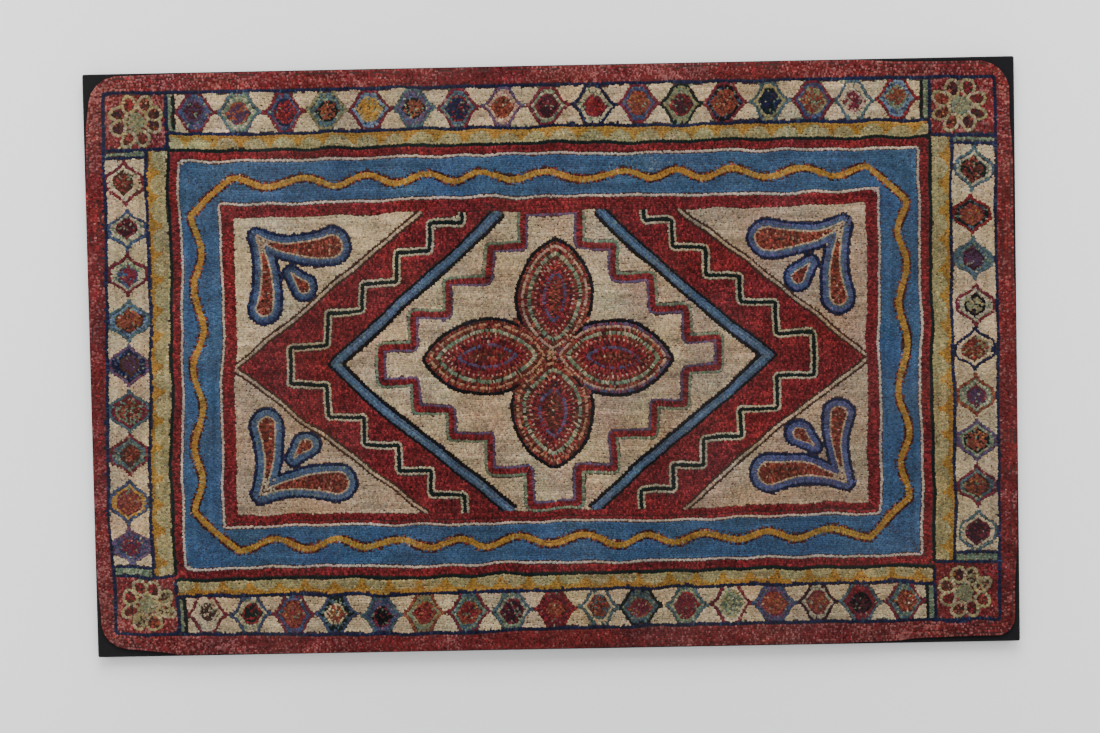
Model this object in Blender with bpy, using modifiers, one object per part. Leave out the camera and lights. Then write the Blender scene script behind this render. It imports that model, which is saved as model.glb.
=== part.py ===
"""Hooked rug stitched flat to a cloth-covered mount panel, lying face up.

The origin is the middle of the panel's back. +X runs along the rug's length, +Y towards
the long edge that is uppermost when it hangs, and +Z out of the pile. Sizes are in metres.
"""

import math

import bmesh
import bpy

PANEL_LENGTH = 1.450
PANEL_WIDTH = 0.914
PANEL_DEPTH = 0.025
PANEL_EDGE_RADIUS = 0.003
PANEL_EDGE_STEPS = 3

# The rug is one piece: wool loops on a ground cloth whose hem is turned under.
RUG_THICKNESS = 0.0075
RUG_RIM_RADIUS = 0.0026
RUG_RIM_STEPS = 3
SEATING_GAP = 0.0003
RUG_UNDERSIDE = PANEL_DEPTH + SEATING_GAP
RUG_FACE = RUG_UNDERSIDE + RUG_THICKNESS

# The rounded corners, named by the side of the rug that they lie on: (x sign, y sign).
CORNER_RADIUS = {
    (-1, 1): 0.046,
    (1, 1): 0.048,
    (-1, -1): 0.042,
    (1, -1): 0.029,
}

# How far the rug's edge lies inside the panel's, (place along the edge, inset).
# Upper and lower edges are read along X, the two ends along Y.
UPPER_EDGE = (
    (-0.725, 0.0035),
    (-0.560, 0.0012),
    (-0.450, 0.0008),
    (0.480, 0.0008),
    (0.555, 0.0048),
    (0.650, 0.0058),
    (0.725, 0.0050),
)
LOWER_EDGE = (
    (-0.725, 0.0130),
    (-0.677, 0.0118),
    (-0.641, 0.0075),
    (-0.600, 0.0018),
    (-0.400, 0.0012),
    (0.430, 0.0012),
    (0.520, 0.0030),
    (0.585, 0.0076),
    (0.640, 0.0092),
    (0.725, 0.0090),
)
LEFT_END = (
    (-0.457, 0.0085),
    (-0.405, 0.0064),
    (-0.340, 0.0016),
    (-0.200, 0.0008),
    (0.240, 0.0008),
    (0.320, 0.0024),
    (0.375, 0.0042),
    (0.420, 0.0088),
    (0.457, 0.0092),
)
RIGHT_END = (
    (-0.457, 0.0080),
    (-0.375, 0.0070),
    (-0.300, 0.0024),
    (-0.130, 0.0010),
    (0.040, 0.0010),
    (0.140, 0.0034),
    (0.300, 0.0036),
    (0.380, 0.0078),
    (0.457, 0.0085),
)

# Slow waves, (wavelength, height), along the edge and over the face of the pile.
EDGE_WAVES = ((0.173, 0.00035), (0.071, 0.00025))
FACE_WAVES = ((0.410, 0.00018), (0.190, 0.00013), (0.083, 0.00009))
# How far the mean face lies below the thickest places, and how far the crests slant across.
FACE_SINK = 0.0004
CREST_SLANT = 1 / 3

GRID_CELL = 0.020
# How quickly the pull of the outline fades towards the middle of the grid.
OUTLINE_FADE = 5

COLOURS = {
    "hooked_wool": (0.360, 0.060, 0.055, 1.0),
    "black_cloth": (0.012, 0.012, 0.014, 1.0),
}
ROUGHNESS = {"hooked_wool": 0.95, "black_cloth": 0.88}


def clear_scene():
    """Removes whatever the scene starts with."""
    for thing in list(bpy.data.objects):
        bpy.data.objects.remove(thing)


def cloth_material(name):
    """A dull, non-metallic finish in the named cloth's colour."""
    material = bpy.data.materials.new(name)
    material.use_nodes = True
    shader = material.node_tree.nodes["Principled BSDF"]
    shader.inputs["Base Color"].default_value = COLOURS[name]
    shader.inputs["Roughness"].default_value = ROUGHNESS[name]
    shader.inputs["Metallic"].default_value = 0.0
    material.diffuse_color = COLOURS[name]
    return material


def eased(table, place):
    """The inset at a place on an edge, eased between the table's neighbouring rows."""
    if place <= table[0][0]:
        return table[0][1]
    for (start, low), (end, high) in zip(table, table[1:]):
        if place <= end:
            share = (place - start) / (end - start)
            return low + (high - low) * share * share * (3 - 2 * share)
    return table[-1][1]


def waves(place, pairs, phase):
    """Height of a few slow sine waves at a place, each with its own phase."""
    return sum(
        height * math.sin(2 * math.pi * place / length + phase * (order + 1))
        for order, (length, height) in enumerate(pairs)
    )


def rounded_corner(x, y):
    """Moves a point of the panel's rectangle onto the same rectangle with round corners."""
    side_x = 1 if x >= 0 else -1
    side_y = 1 if y >= 0 else -1
    radius = CORNER_RADIUS[(side_x, side_y)]
    centre_x = PANEL_LENGTH / 2 - radius
    centre_y = PANEL_WIDTH / 2 - radius
    past_x = (abs(x) - centre_x) / radius
    past_y = (abs(y) - centre_y) / radius
    if past_x <= 0 or past_y <= 0:
        return x, y
    # A corner is shared by the two sides, so each takes half of the quarter turn.
    if past_y >= past_x:
        turn = math.radians(45) * past_x
        along_x, along_y = math.sin(turn), math.cos(turn)
    else:
        turn = math.radians(45) * past_y
        along_x, along_y = math.cos(turn), math.sin(turn)
    return side_x * (centre_x + radius * along_x), side_y * (centre_y + radius * along_y)


def on_outline(x, y):
    """Moves a point of the panel's rectangle onto the rug's own uneven outline."""
    x, y = rounded_corner(x, y)
    across = eased(UPPER_EDGE if y >= 0 else LOWER_EDGE, x)
    across += abs(waves(x, EDGE_WAVES, 1.0 if y >= 0 else 2.3))
    endwise = eased(RIGHT_END if x >= 0 else LEFT_END, y)
    endwise += abs(waves(y, EDGE_WAVES, 0.4 if x >= 0 else 3.1))
    new_x = x * (1 - endwise / (PANEL_LENGTH / 2))
    new_y = y * (1 - across / (PANEL_WIDTH / 2))
    return new_x, new_y


def on_rug(x, y):
    """Moves a point of the flat grid so that the grid's rim lies on the rug's outline."""
    reach = max(abs(x) / (PANEL_LENGTH / 2), abs(y) / (PANEL_WIDTH / 2))
    if reach == 0:
        return x, y
    rim_x, rim_y = x / reach, y / reach
    edge_x, edge_y = on_outline(rim_x, rim_y)
    pull = reach**OUTLINE_FADE
    return x + (edge_x - rim_x) * pull, y + (edge_y - rim_y) * pull


def face_height(x, y):
    """Height of the pile's face, which is as even as hand hooking leaves it."""
    along = waves(x, FACE_WAVES, 0.7)
    across = waves(y + x * CREST_SLANT, FACE_WAVES, 1.9)
    return RUG_FACE - FACE_SINK + along + across


def add_bevel(solid, width, steps):
    """Rounds the sharp edges of a solid."""
    bevel = solid.modifiers.new("rounded_edges", "BEVEL")
    bevel.width = width
    bevel.segments = steps
    bevel.limit_method = "ANGLE"
    bevel.angle_limit = math.radians(50)


def finish_object(solid, name, material, collection):
    """Names a new object, gives it its cloth and moves it to the part's collection."""
    solid.name = name
    solid.data.name = name
    solid.data.materials.append(material)
    solid.data.shade_smooth()
    solid.data.set_sharp_from_angle(angle=math.radians(40))
    for owner in list(solid.users_collection):
        owner.objects.unlink(solid)
    collection.objects.link(solid)


def make_panel(collection):
    """The flat panel that the rug is stitched to, wrapped in black cloth with softened edges."""
    bpy.ops.mesh.primitive_cube_add(size=1, location=(0, 0, PANEL_DEPTH / 2))
    panel = bpy.context.object
    panel.scale = (PANEL_LENGTH, PANEL_WIDTH, PANEL_DEPTH)
    bpy.ops.object.transform_apply(location=False, rotation=False, scale=True)
    add_bevel(panel, PANEL_EDGE_RADIUS, PANEL_EDGE_STEPS)
    finish_object(panel, "mount_panel", cloth_material("black_cloth"), collection)


def make_rug(collection):
    """The rug: a grid pulled to its outline, raised to the pile's face and extruded down."""
    bpy.ops.mesh.primitive_grid_add(
        x_subdivisions=round(PANEL_LENGTH / GRID_CELL),
        y_subdivisions=round(PANEL_WIDTH / GRID_CELL),
        size=1,
    )
    rug = bpy.context.object
    shape = bmesh.new()
    shape.from_mesh(rug.data)
    for point in shape.verts:
        x, y = on_rug(point.co.x * PANEL_LENGTH, point.co.y * PANEL_WIDTH)
        point.co = (x, y, face_height(x, y))
    extruded = bmesh.ops.extrude_face_region(shape, geom=list(shape.faces), use_keep_orig=True)
    underside = [part for part in extruded["geom"] if isinstance(part, bmesh.types.BMFace)]
    for point in {corner for face in underside for corner in face.verts}:
        point.co.z = RUG_UNDERSIDE
    bmesh.ops.dissolve_faces(shape, faces=underside)
    bmesh.ops.recalc_face_normals(shape, faces=list(shape.faces))
    shape.to_mesh(rug.data)
    shape.free()
    add_bevel(rug, RUG_RIM_RADIUS, RUG_RIM_STEPS)
    finish_object(rug, "rug", cloth_material("hooked_wool"), collection)


def main():
    clear_scene()
    collection = bpy.data.collections.new("hooked_rug_on_mount")
    bpy.context.scene.collection.children.link(collection)
    make_panel(collection)
    make_rug(collection)


main()
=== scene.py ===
"""Dresses the hooked rug and its mount panel, and sets them in a plain studio.

The rug is hooked here as it is by hand. Its design is drawn on the ground cloth as lines and
rows of millimetre sizes, loops of wool are pulled up along each row in the order of the work,
and every loop is a small mound of its own wool. The drawing's zero is the middle of the panel,
with x along the rug and y towards the edge that is uppermost when it hangs.
"""

import math

import bpy
import numpy as np
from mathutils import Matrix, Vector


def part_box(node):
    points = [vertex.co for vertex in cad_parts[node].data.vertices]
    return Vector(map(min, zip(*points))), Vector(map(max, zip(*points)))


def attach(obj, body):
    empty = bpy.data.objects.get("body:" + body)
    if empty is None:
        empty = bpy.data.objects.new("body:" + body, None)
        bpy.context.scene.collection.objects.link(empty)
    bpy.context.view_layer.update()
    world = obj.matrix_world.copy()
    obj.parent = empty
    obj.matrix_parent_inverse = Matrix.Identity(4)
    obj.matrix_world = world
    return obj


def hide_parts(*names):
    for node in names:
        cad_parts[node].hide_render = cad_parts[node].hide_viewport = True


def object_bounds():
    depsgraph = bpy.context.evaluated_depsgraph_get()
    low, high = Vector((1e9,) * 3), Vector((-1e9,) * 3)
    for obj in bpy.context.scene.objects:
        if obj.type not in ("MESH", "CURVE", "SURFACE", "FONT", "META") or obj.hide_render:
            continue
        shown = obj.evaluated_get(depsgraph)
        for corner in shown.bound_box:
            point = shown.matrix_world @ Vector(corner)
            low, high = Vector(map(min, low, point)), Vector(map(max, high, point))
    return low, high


bl_info = {
    "name": "Hooked rug",
    "version": (1, 0, 0),
    "blender": (4, 5, 0),
    "location": "3D View > Sidebar > Hooked Rug",
    "description": "Hooks a wool rug loop by loop and shows it on its mount panel",
    "category": "Object",
}

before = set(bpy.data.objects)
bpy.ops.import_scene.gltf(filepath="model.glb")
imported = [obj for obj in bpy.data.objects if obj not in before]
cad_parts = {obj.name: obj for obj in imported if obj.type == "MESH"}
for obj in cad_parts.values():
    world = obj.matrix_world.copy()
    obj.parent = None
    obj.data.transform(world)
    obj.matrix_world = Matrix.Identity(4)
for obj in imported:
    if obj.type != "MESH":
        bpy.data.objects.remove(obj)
CAD_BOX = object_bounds()
RUG_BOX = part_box("rug")
PANEL_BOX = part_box("mount_panel")

MM = 0.001
COLOUR, NUMBER = "NodeSocketColor", "NodeSocketFloat"
# The dust that dulls worn wool and cloth, as a linear colour.
DUST = (0.20, 0.17, 0.145, 1.0)

# Frames of the design as (left, right, bottom, top), each the middle of a line of loops.
NAVY_FRAME = (-693.0, 693.0, -420.0, 426.0)
SQUARE_FRAME = (-594.0, 591.5, -328.5, 337.0)
DARK_FRAME = (-593.0, 591.0, -335.5, 335.5)
OUTER_WHITE = (-576.0, 573.5, -318.5, 318.5)
INNER_WHITE = (-514.5, 510.5, -254.5, 250.0)
FIELD_FRAME = (-494.5, 491.5, -238.0, 229.5)
FIELD_MIDDLE = (-1.5, -4.0)

# The lines between the lozenge strips and the ochre strips, and the strips' ends.
STRIP_LINES = {"top": 361.0, "bottom": -360.5, "left": -627.0, "right": 623.0}
TOP_ENDS = (-583.0, 579.5)
SIDE_ENDS = (-314.5, 325.0)
# Middles of the first and the last lozenge of a long strip and of a short one.
TOP_SPAN = (-549.0, 543.0)
SIDE_SPAN = (286.0, -282.0)
# Where each side's number stands in a frame.
SIDE_PLACE = {"left": 0, "right": 1, "bottom": 2, "top": 3}

# Heights over the rug's underside between which its solid's corners lie on its full outline.
RIM_HEIGHTS = (0.0018, 0.0036)
# Corners of the outline that are nearer to the one before than this are passed over.
RIM_SPACING = 0.5
# The ground cloth lies this far below the top of the rug's solid, in metres.
PILE_DEPTH = 0.0029
# How far a mound's foot is sunk into the ground cloth, in metres.
FOOT_SUNK = 0.0004
# How far a mound's foot spreads, in loop pitches along its row and in rows across it.
FOOT_ALONG, FOOT_ACROSS = 1.5, 1.4

# Widths of the drawn lines of loops, and how far the paths' corners are rounded.
LINE_WIDTH, END_LINE_WIDTH, WHITE_LINE_WIDTH = 4.4, 4.0, 2.9
FRAME_ROUNDING, DARK_ROUNDING, STEP_ROUNDING, WAVE_ROUNDING = 6.0, 5.0, 4.0, 12.0

# The outer band: its number of rows, their width, and how far the first lies inside the outline
# and leans over the rim.
BAND_ROWS = 9
BAND_ROW_WIDTH = 3.2
BAND_INSET = 3.2
RIM_LEAN = 0.9
# The band's gaps are closed up to this far inside its first row.
BAND_CLOSED_FROM = 2.2

# Where the drawn layout is pulled out of true: middle of the pull, its reach along x and y, and
# how far it moves the work there, all in millimetres.
PULLS = (
    ((-690.0, -150.0), (60.0, 170.0), (-5.5, 0.0)),
    ((-575.0, -230.0), (120.0, 165.0), (-7.0, 1.0)),
    ((-240.0, -430.0), (240.0, 85.0), (-1.0, -7.5)),
    ((170.0, 405.0), (215.0, 60.0), (8.0, 0.5)),
    ((680.0, 275.0), (70.0, 110.0), (0.0, -6.0)),
    ((490.0, 220.0), (120.0, 65.0), (0.0, 6.0)),
    ((420.0, -190.0), (130.0, 80.0), (-1.0, 5.5)),
    ((330.0, -120.0), (110.0, 70.0), (-3.0, 4.5)),
    ((-40.0, 248.0), (240.0, 45.0), (0.0, 4.0)),
)

# Middle of the paler patch in the blue band, and its reach along x and y.
FADED_PLACE, FADED_REACH = (150.0, 300.0), (42.0, 13.0)
# The wave's two ochre rows and its two dark edges, as (offset, width).
WAVE_OCHRE, WAVE_EDGE = (2.3, 4.6), (5.8, 2.6)

# Crests of the ochre wave along each side of the blue band, and its middle line there.
WAVE_TOP = ((-498, -385, -281, -188, -110, -8, 112, 196, 282, 392, 494), 283.5)
WAVE_RIGHT = ((234, 136, 12, -127, -230), 546.5)
WAVE_BOTTOM = ((492, 375, 284, 187, 98, -14, -108, -200, -297, -387, -494), -283.5)
WAVE_LEFT = ((-232, -130, -6, 122, 232), -551.5)

# The dark zigzag in the red field as (x, y) from top to bottom, on the left and on the right.
DARK_STEPS_LEFT = (
    (-137, 231), (-137, 213), (-189, 213), (-189, 171), (-239, 170),
    (-240, 125), (-296, 123), (-298, 80), (-351, 79), (-352, 27),
    (-411, 27), (-411, -32), (-354, -32), (-351, -85), (-294, -85),
    (-295, -129), (-242, -129), (-244, -171), (-194, -171), (-194, -209),
    (-144, -209), (-144, -238),
)
DARK_STEPS_RIGHT = (
    (145, 231), (146, 213), (190, 212), (190, 172), (240, 168),
    (243, 125), (293, 121), (296, 83), (350, 80), (350, 31),
    (408, 31), (408, -33), (349, -33), (351, -88), (292, -88),
    (293, -132), (235, -130), (235, -172), (184, -171), (184, -208),
    (135, -208), (135, -239),
)
# The red zigzag round the quatrefoil, in the same way.
RED_STEPS_LEFT = (
    (0, 229), (-42, 229), (-42, 177), (-97, 176), (-98, 125),
    (-162, 124), (-163, 74), (-216, 73), (-217, 25), (-268, 24),
    (-268, -30), (-215, -30), (-216, -76), (-161, -76), (-161, -120),
    (-100, -120), (-100, -175), (-39, -175), (-39, -228), (0, -228),
)
RED_STEPS_RIGHT = (
    (0, 229), (43, 229), (43, 178), (98, 177), (98, 127),
    (155, 126), (156, 76), (209, 75), (210, 29), (260, 28),
    (260, -21), (207, -21), (207, -75), (154, -74), (154, -119),
    (92, -119), (92, -172), (37, -172), (37, -228), (0, -228),
)

# Width of the dark zigzag, and the (offset, width) of the pale row on each side of it.
DARK_ZIGZAG_WIDTH, PALE_EDGE = 6.0, (4.5, 3.0)
# Where the red field meets the field's long edges.
RED_FIELD_END = 205.0

# The blue diamond's two sides, in the same way, and its rows as (offset, width, wool).
DIAMOND_LEFT = (
    (-78, 230), (-340, -2), (-284, -57), (-217, -114), (-141, -176),
    (-66, -239),
)
DIAMOND_RIGHT = (
    (73, 230), (138, 169), (213, 105), (278, 46), (338, -2),
    (280, -56), (209, -109), (132, -171), (57, -239),
)
DIAMOND_ROWS = (
    (0.0, 4.2, "faded_blue"), (-4.0, 3.8, "steel"), (4.0, 3.8, "steel"),
    (-8.6, 5.2, "black"), (7.7, 3.4, "black"),
)

# Rows of the red zigzag as (offset, width, wool), the outer side last.
RED_ZIGZAG_ROWS = (
    (2.2, 4.4, "madder"), (-2.2, 4.4, "madder"), (6.1, 3.4, "mauve"), (-6.4, 4.0, "sage"),
)

# The wools as sRGB colour, then how uneven the dye is, set high enough that it also stands in as
# painted shade between the loops, then the wools that are spun in with it and the share of loops
# that shows them.
WOOLS = {
    "brick": ((0.339, 0.125, 0.123), 0.30, (("rose", 0.12), ("madder", 0.15))),
    "rose": ((0.467, 0.269, 0.259), 0.26, (("brick", 0.20),)),
    "madder": ((0.348, 0.100, 0.110), 0.62, (("brick", 0.20), ("plum_dark", 0.12))),
    "blue": ((0.183, 0.270, 0.369), 0.24, (("faded_blue", 0.08), ("slate", 0.16))),
    "faded_blue": ((0.247, 0.315, 0.386), 0.24, (("sky", 0.15),)),
    "sky": ((0.322, 0.375, 0.431), 0.26, (("blue", 0.15),)),
    "ochre": ((0.492, 0.362, 0.153), 0.26, (("straw", 0.10), ("rust", 0.06))),
    "straw": ((0.480, 0.437, 0.298), 0.27, (("sage", 0.10), ("cream", 0.12))),
    "cream": ((0.604, 0.531, 0.416), 0.26, (("pebble", 0.15), ("shell", 0.10))),
    "fawn": ((0.538, 0.458, 0.376), 0.28, (("pebble", 0.12), ("shell", 0.16))),
    "white": ((0.570, 0.508, 0.459), 0.24, (("pebble", 0.15),)),
    "pebble": ((0.525, 0.480, 0.396), 0.25, (("cream", 0.20), ("sage", 0.10))),
    "tan": ((0.499, 0.426, 0.351), 0.26, (("cream", 0.15), ("bark", 0.08))),
    "bark": ((0.205, 0.133, 0.107), 0.16, (("black", 0.15),)),
    "navy": ((0.074, 0.087, 0.181), 0.28, (("black", 0.20), ("slate", 0.08))),
    "black": ((0.045, 0.045, 0.045), 0.20, (("navy", 0.15),)),
    "bottle": ((0.045, 0.091, 0.082), 0.20, (("black", 0.35),)),
    "iris": ((0.227, 0.240, 0.356), 0.34, (("slate", 0.20), ("mauve", 0.15))),
    "steel": ((0.223, 0.268, 0.341), 0.30, (("slate", 0.20), ("sage", 0.08))),
    "slate": ((0.186, 0.213, 0.295), 0.34, (("navy", 0.14), ("blue", 0.14))),
    "teal": ((0.213, 0.270, 0.293), 0.32, (("sage", 0.12), ("bottle", 0.10))),
    "sage": ((0.318, 0.359, 0.282), 0.32, (("pebble", 0.15), ("teal", 0.10))),
    "olive": ((0.384, 0.361, 0.259), 0.28, (("straw", 0.15), ("sage", 0.10))),
    "rust": ((0.336, 0.162, 0.122), 0.72, (("madder", 0.26), ("bark", 0.20), ("tan", 0.05))),
    "apricot": ((0.528, 0.393, 0.297), 0.18, (("rust", 0.15), ("shell", 0.10))),
    "orange": ((0.383, 0.196, 0.147), 0.40, (("brick", 0.18), ("ochre", 0.08))),
    "crimson": ((0.309, 0.109, 0.146), 0.36, (("madder", 0.20), ("shell", 0.05))),
    "shell": ((0.515, 0.391, 0.343), 0.28, (("cream", 0.15), ("brick", 0.08))),
    "mauve": ((0.278, 0.216, 0.294), 0.34, (("slate", 0.15), ("madder", 0.12))),
    "plum": ((0.222, 0.139, 0.207), 0.16, (("mauve", 0.15), ("navy", 0.10))),
    "plum_dark": ((0.167, 0.075, 0.106), 0.16, (("black", 0.15), ("madder", 0.15))),
}
WOOL_NUMBER = {name: number for number, name in enumerate(WOOLS)}

# The lozenges in order, as (outline, ring, heart, second wool of the heart).
TOP_LOZENGES = (
    ("crimson", "slate", "plum_dark", "plum"), ("teal", "sage", "plum", "orange"),
    ("crimson", "slate", "madder", "navy"), ("olive", "teal", "orange", "bottle"),
    ("crimson", "sky", "ochre", "straw"), ("teal", "mauve", "orange", "bottle"),
    ("crimson", "teal", "navy", "madder"), ("mauve", "shell", "rust", "orange"),
    ("crimson", "sage", "plum_dark", "crimson"), ("navy", "pebble", "madder", "crimson"),
    ("crimson", "slate", "orange", "rust"), ("bottle", "olive", "plum_dark", "madder"),
    ("crimson", "black", "rust", "orange"), ("teal", "straw", "navy", "bottle"),
    ("crimson", "slate", "orange", "olive"), ("teal", "cream", "crimson", "shell"),
    ("madder", "sky", "orange", "sage"),
)
BOTTOM_LOZENGES = (
    ("crimson", "cream", "bark", "pebble"), ("slate", "pebble", "bottle", "madder"),
    ("crimson", "slate", "orange", "madder"), ("slate", "bottle", "orange", "cream"),
    ("teal", "slate", "black", "crimson"), ("orange", "olive", "madder", "orange"),
    ("crimson", "teal", "madder", "orange"), ("teal", "sage", "plum_dark", "crimson"),
    ("madder", "crimson", "orange", "madder"), ("teal", "cream", "rust", "teal"),
    ("bottle", "teal", "crimson", "orange"), ("teal", "sage", "crimson", "madder"),
    ("crimson", "cream", "sage", "straw"), ("slate", "mauve", "orange", "crimson"),
    ("plum_dark", "pebble", "orange", "crimson"), ("teal", "crimson", "plum_dark", "black"),
    ("crimson", "teal", "orange", "rust"),
)
LEFT_LOZENGES = (
    ("crimson", "cream", "rust", "bark"), ("slate", "pebble", "plum_dark", "crimson"),
    ("crimson", "pebble", "crimson", "slate"), ("teal", "sky", "orange", "bark"),
    ("mauve", "navy", "plum", "bark"), ("teal", "crimson", "rust", "sage"),
    ("crimson", "teal", "rust", "bark"), ("slate", "ochre", "orange", "crimson"),
    ("mauve", "slate", "crimson", "plum"),
)
RIGHT_LOZENGES = (
    ("teal", "pebble", "rust", "bottle"), ("madder", "bottle", "orange", "crimson"),
    ("teal", "teal", "plum", "plum_dark"), ("crimson", "pebble", "olive", "black"),
    ("navy", "cream", "rust", "olive"), ("orange", "sage", "plum", "crimson"),
    ("mauve", "sage", "orange", "bottle"), ("crimson", "teal", "orange", "bark"),
    ("teal", "cream", "plum_dark", "crimson"),
)

# The wool that flecks each ring wool of the lozenges.
RING_MATES = {
    "slate": "mauve", "sky": "slate", "sage": "pebble", "teal": "sage", "pebble": "sage",
    "cream": "pebble", "mauve": "slate", "olive": "sage", "straw": "olive", "bottle": "teal",
    "black": "slate", "shell": "cream", "ochre": "straw", "crimson": "madder", "navy": "slate",
}
# A lozenge's number of rows, and how each differs from the one outside it: shorter and narrower
# in millimetres, and fuller.
LOZENGE_ROWS = 8
LOZENGE_SHORTER, LOZENGE_NARROWER, LOZENGE_FULLER = 8.2, 7.0, 0.03
# The half rounds of the ochre strips: the share of the pitch that one spans, where its top lies
# from the strip's line, and how far its sides reach on from there.
ARCH_SPAN, ARCH_TOP, ARCH_RISE = 0.84, 7.0, 13.5

# A petal of the quatrefoil from its edge inwards, as (depth of the row, its width, its wool).
# Its second and third rows take the petal's own two wools.
PETAL_ROWS = (
    (1.6, 5.0, "black"), (6.2, 4.4, "own outer"), (10.7, 3.8, "own line"), (15.2, 4.8, "rust"),
    (21.0, 5.4, "sage"), (26.4, 4.6, "rust"), (30.9, 3.6, "dotted"), (35.1, 4.4, "madder"),
    (39.6, 4.4, "madder"), (44.4, 4.4, "mauve"), (48.9, 4.4, "madder"), (53.4, 4.4, "rust"),
    (57.8, 4.4, "rust"),
)
# The petals as (angle of the tip, length from the middle, width, wools of the two own rows).
PETALS = (
    (180.0, 203.0, 123.0, "rust", "apricot"), (-2.4, 190.0, 120.0, "mauve", "shell"),
    (87.5, 184.0, 121.0, "rust", "shell"), (-90.0, 177.0, 129.0, "rust", "apricot"),
)
# The two wools that are strewn into the rows of a petal.
PETAL_MATES = {
    "rust": ("madder", "bark"), "sage": ("pebble", "bark"), "apricot": ("rust", "madder"),
    "shell": ("rust", "tan"), "madder": ("rust", "plum_dark"), "mauve": ("madder", "slate"),
}
QUATREFOIL_MIDDLE = (0.0, 5.0)
# Depth on the diagonal side of a petal that meets depth zero of its outer edge.
DIAGONAL_DEPTH = 7.6
# Length of the rust line between two petals, and of the pale start of it.
SPOKE_LENGTH, SPOKE_START = 84.0, 9.0

# A corner's pair of lobes and its drop, seen from the field's middle with both signs turned
# positive: (tip x, y), (bulb x, y), tip radius, bulb radius, sideways bend.
LOBES = (
    ((456.5, 201.0), (339.0, 184.5), 16.5, 32.5, 9.5),
    ((456.5, 201.0), (447.0, 91.0), 16.5, 27.0, -7.5),
)
DROP = ((406.5, 145.0), (386.5, 124.0), 14.5, 24.0, 0.0)
# Where the slanting side of a corner meets the field's long edges, from the middle.
SLANT_END = 201.0
# The lines between a corner and the red field as (offset, width, wool), the red side last.
SLANT_ROWS = ((-3.5, 2.6, "bark"), (0.0, 4.4, "tan"), (3.6, 2.8, "bark"))
# The four corners as (x sign, y sign, wools of the two blue rows).
CORNERS = (
    (-1, 1, {"first": "slate", "second": "steel"}), (1, 1, {"first": "iris", "second": "steel"}),
    (-1, -1, {"first": "steel", "second": "steel"}), (1, -1, {"first": "iris", "second": "iris"}),
)
LOBE_ROWS = (
    (2.1, 4.2, "navy"), (6.4, 4.4, "first"), (10.7, 4.2, "second"), (14.2, 3.0, "tan"),
    (17.6, 3.9, "rust"), (21.5, 3.9, "rust"), (25.4, 3.9, "rust"), (29.3, 3.9, "rust"),
)
DROP_ROWS = (
    (2.1, 4.2, "navy"), (6.4, 4.2, "first"), (10.6, 4.2, "second"), (13.8, 2.6, "tan"),
    (17.0, 4.0, "rust"), (20.8, 4.0, "rust"),
)

ROSETTES = ((-642.0, 383.0), (638.0, 382.0), (-641.0, -373.0), (640.0, -376.0))
# Radii of the rows of a rosette's disc, its number of petals, and how much longer than wide
# a petal is.
DISC_RADII = (11.6, 7.8, 4.0, 0.8)
ROSETTE_PETALS = 8
PETAL_OVAL = 1.25

# The ground cloth's hem as (share of the way out, inset, height over the underside), in
# millimetres, from its flat top round the rim to its underside.
HEM_SECTIONS = (
    (1.0, 4.6, "top"), (1.0, 3.0, 3.7), (1.0, 2.4, 2.4), (1.0, 2.6, 1.0), (1.0, 3.6, 0.0),
    (0.5, 0.0, 0.0),
)

# Half the floor's side in metres, and its number of cells along a side.
FLOOR_REACH, FLOOR_CELLS = 9, 6
# The softboxes as (name, place, size, share of the softbox power). The head one faces the rug's
# middle, and the two at the sides are turned outwards, so that the rug takes their spill.
SOFTBOXES = (
    ("softbox_left", (-2.6, 0.5, 2.6), 2.2, 1.15),
    ("softbox_right", (2.6, 0.7, 2.6), 2.2, 0.85),
    ("softbox_head", (0.0, 2.8, 2.8), 2.4, 1.0),
)


def wool_colour(name):
    """A colour property that starts as one of the rug's wools, in sRGB."""
    return bpy.props.FloatVectorProperty(
        name=name.replace("_", " ").capitalize(),
        description=f"Colour of the {name.replace('_', ' ')} wool",
        subtype="COLOR_GAMMA",
        size=3,
        min=0.0,
        max=1.0,
        default=WOOLS[name][0],
    )


class RugHooking(bpy.types.PropertyGroup):
    """How the loops are pulled up through the ground cloth."""

    loop_pitch: bpy.props.FloatProperty(
        name="Loop pitch", description="Distance from loop to loop along a row",
        default=0.0024, min=0.002, max=0.006, unit="LENGTH", precision=4,
    )
    row_pitch: bpy.props.FloatProperty(
        name="Row pitch", description="Distance between the rows of a plain ground",
        default=0.0034, min=0.0025, max=0.008, unit="LENGTH", precision=4,
    )
    loop_height: bpy.props.FloatProperty(
        name="Loop height", description="Height of a loop above the ground cloth",
        default=0.0026, min=0.001, max=0.006, unit="LENGTH", precision=4,
    )
    wander: bpy.props.FloatProperty(
        name="Wander", description="How far the drawn lines stray from their true places",
        default=0.0024, min=0.0, max=0.008, unit="LENGTH", precision=4,
    )
    unevenness: bpy.props.FloatProperty(
        name="Dye unevenness", description="Strength of the streaks and patches in the dyes",
        default=1.0, min=0.0, max=2.0, subtype="FACTOR",
    )
    seed: bpy.props.IntProperty(
        name="Seed", description="Number that the small accidents of the work start from",
        default=7, min=0,
    )


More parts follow.
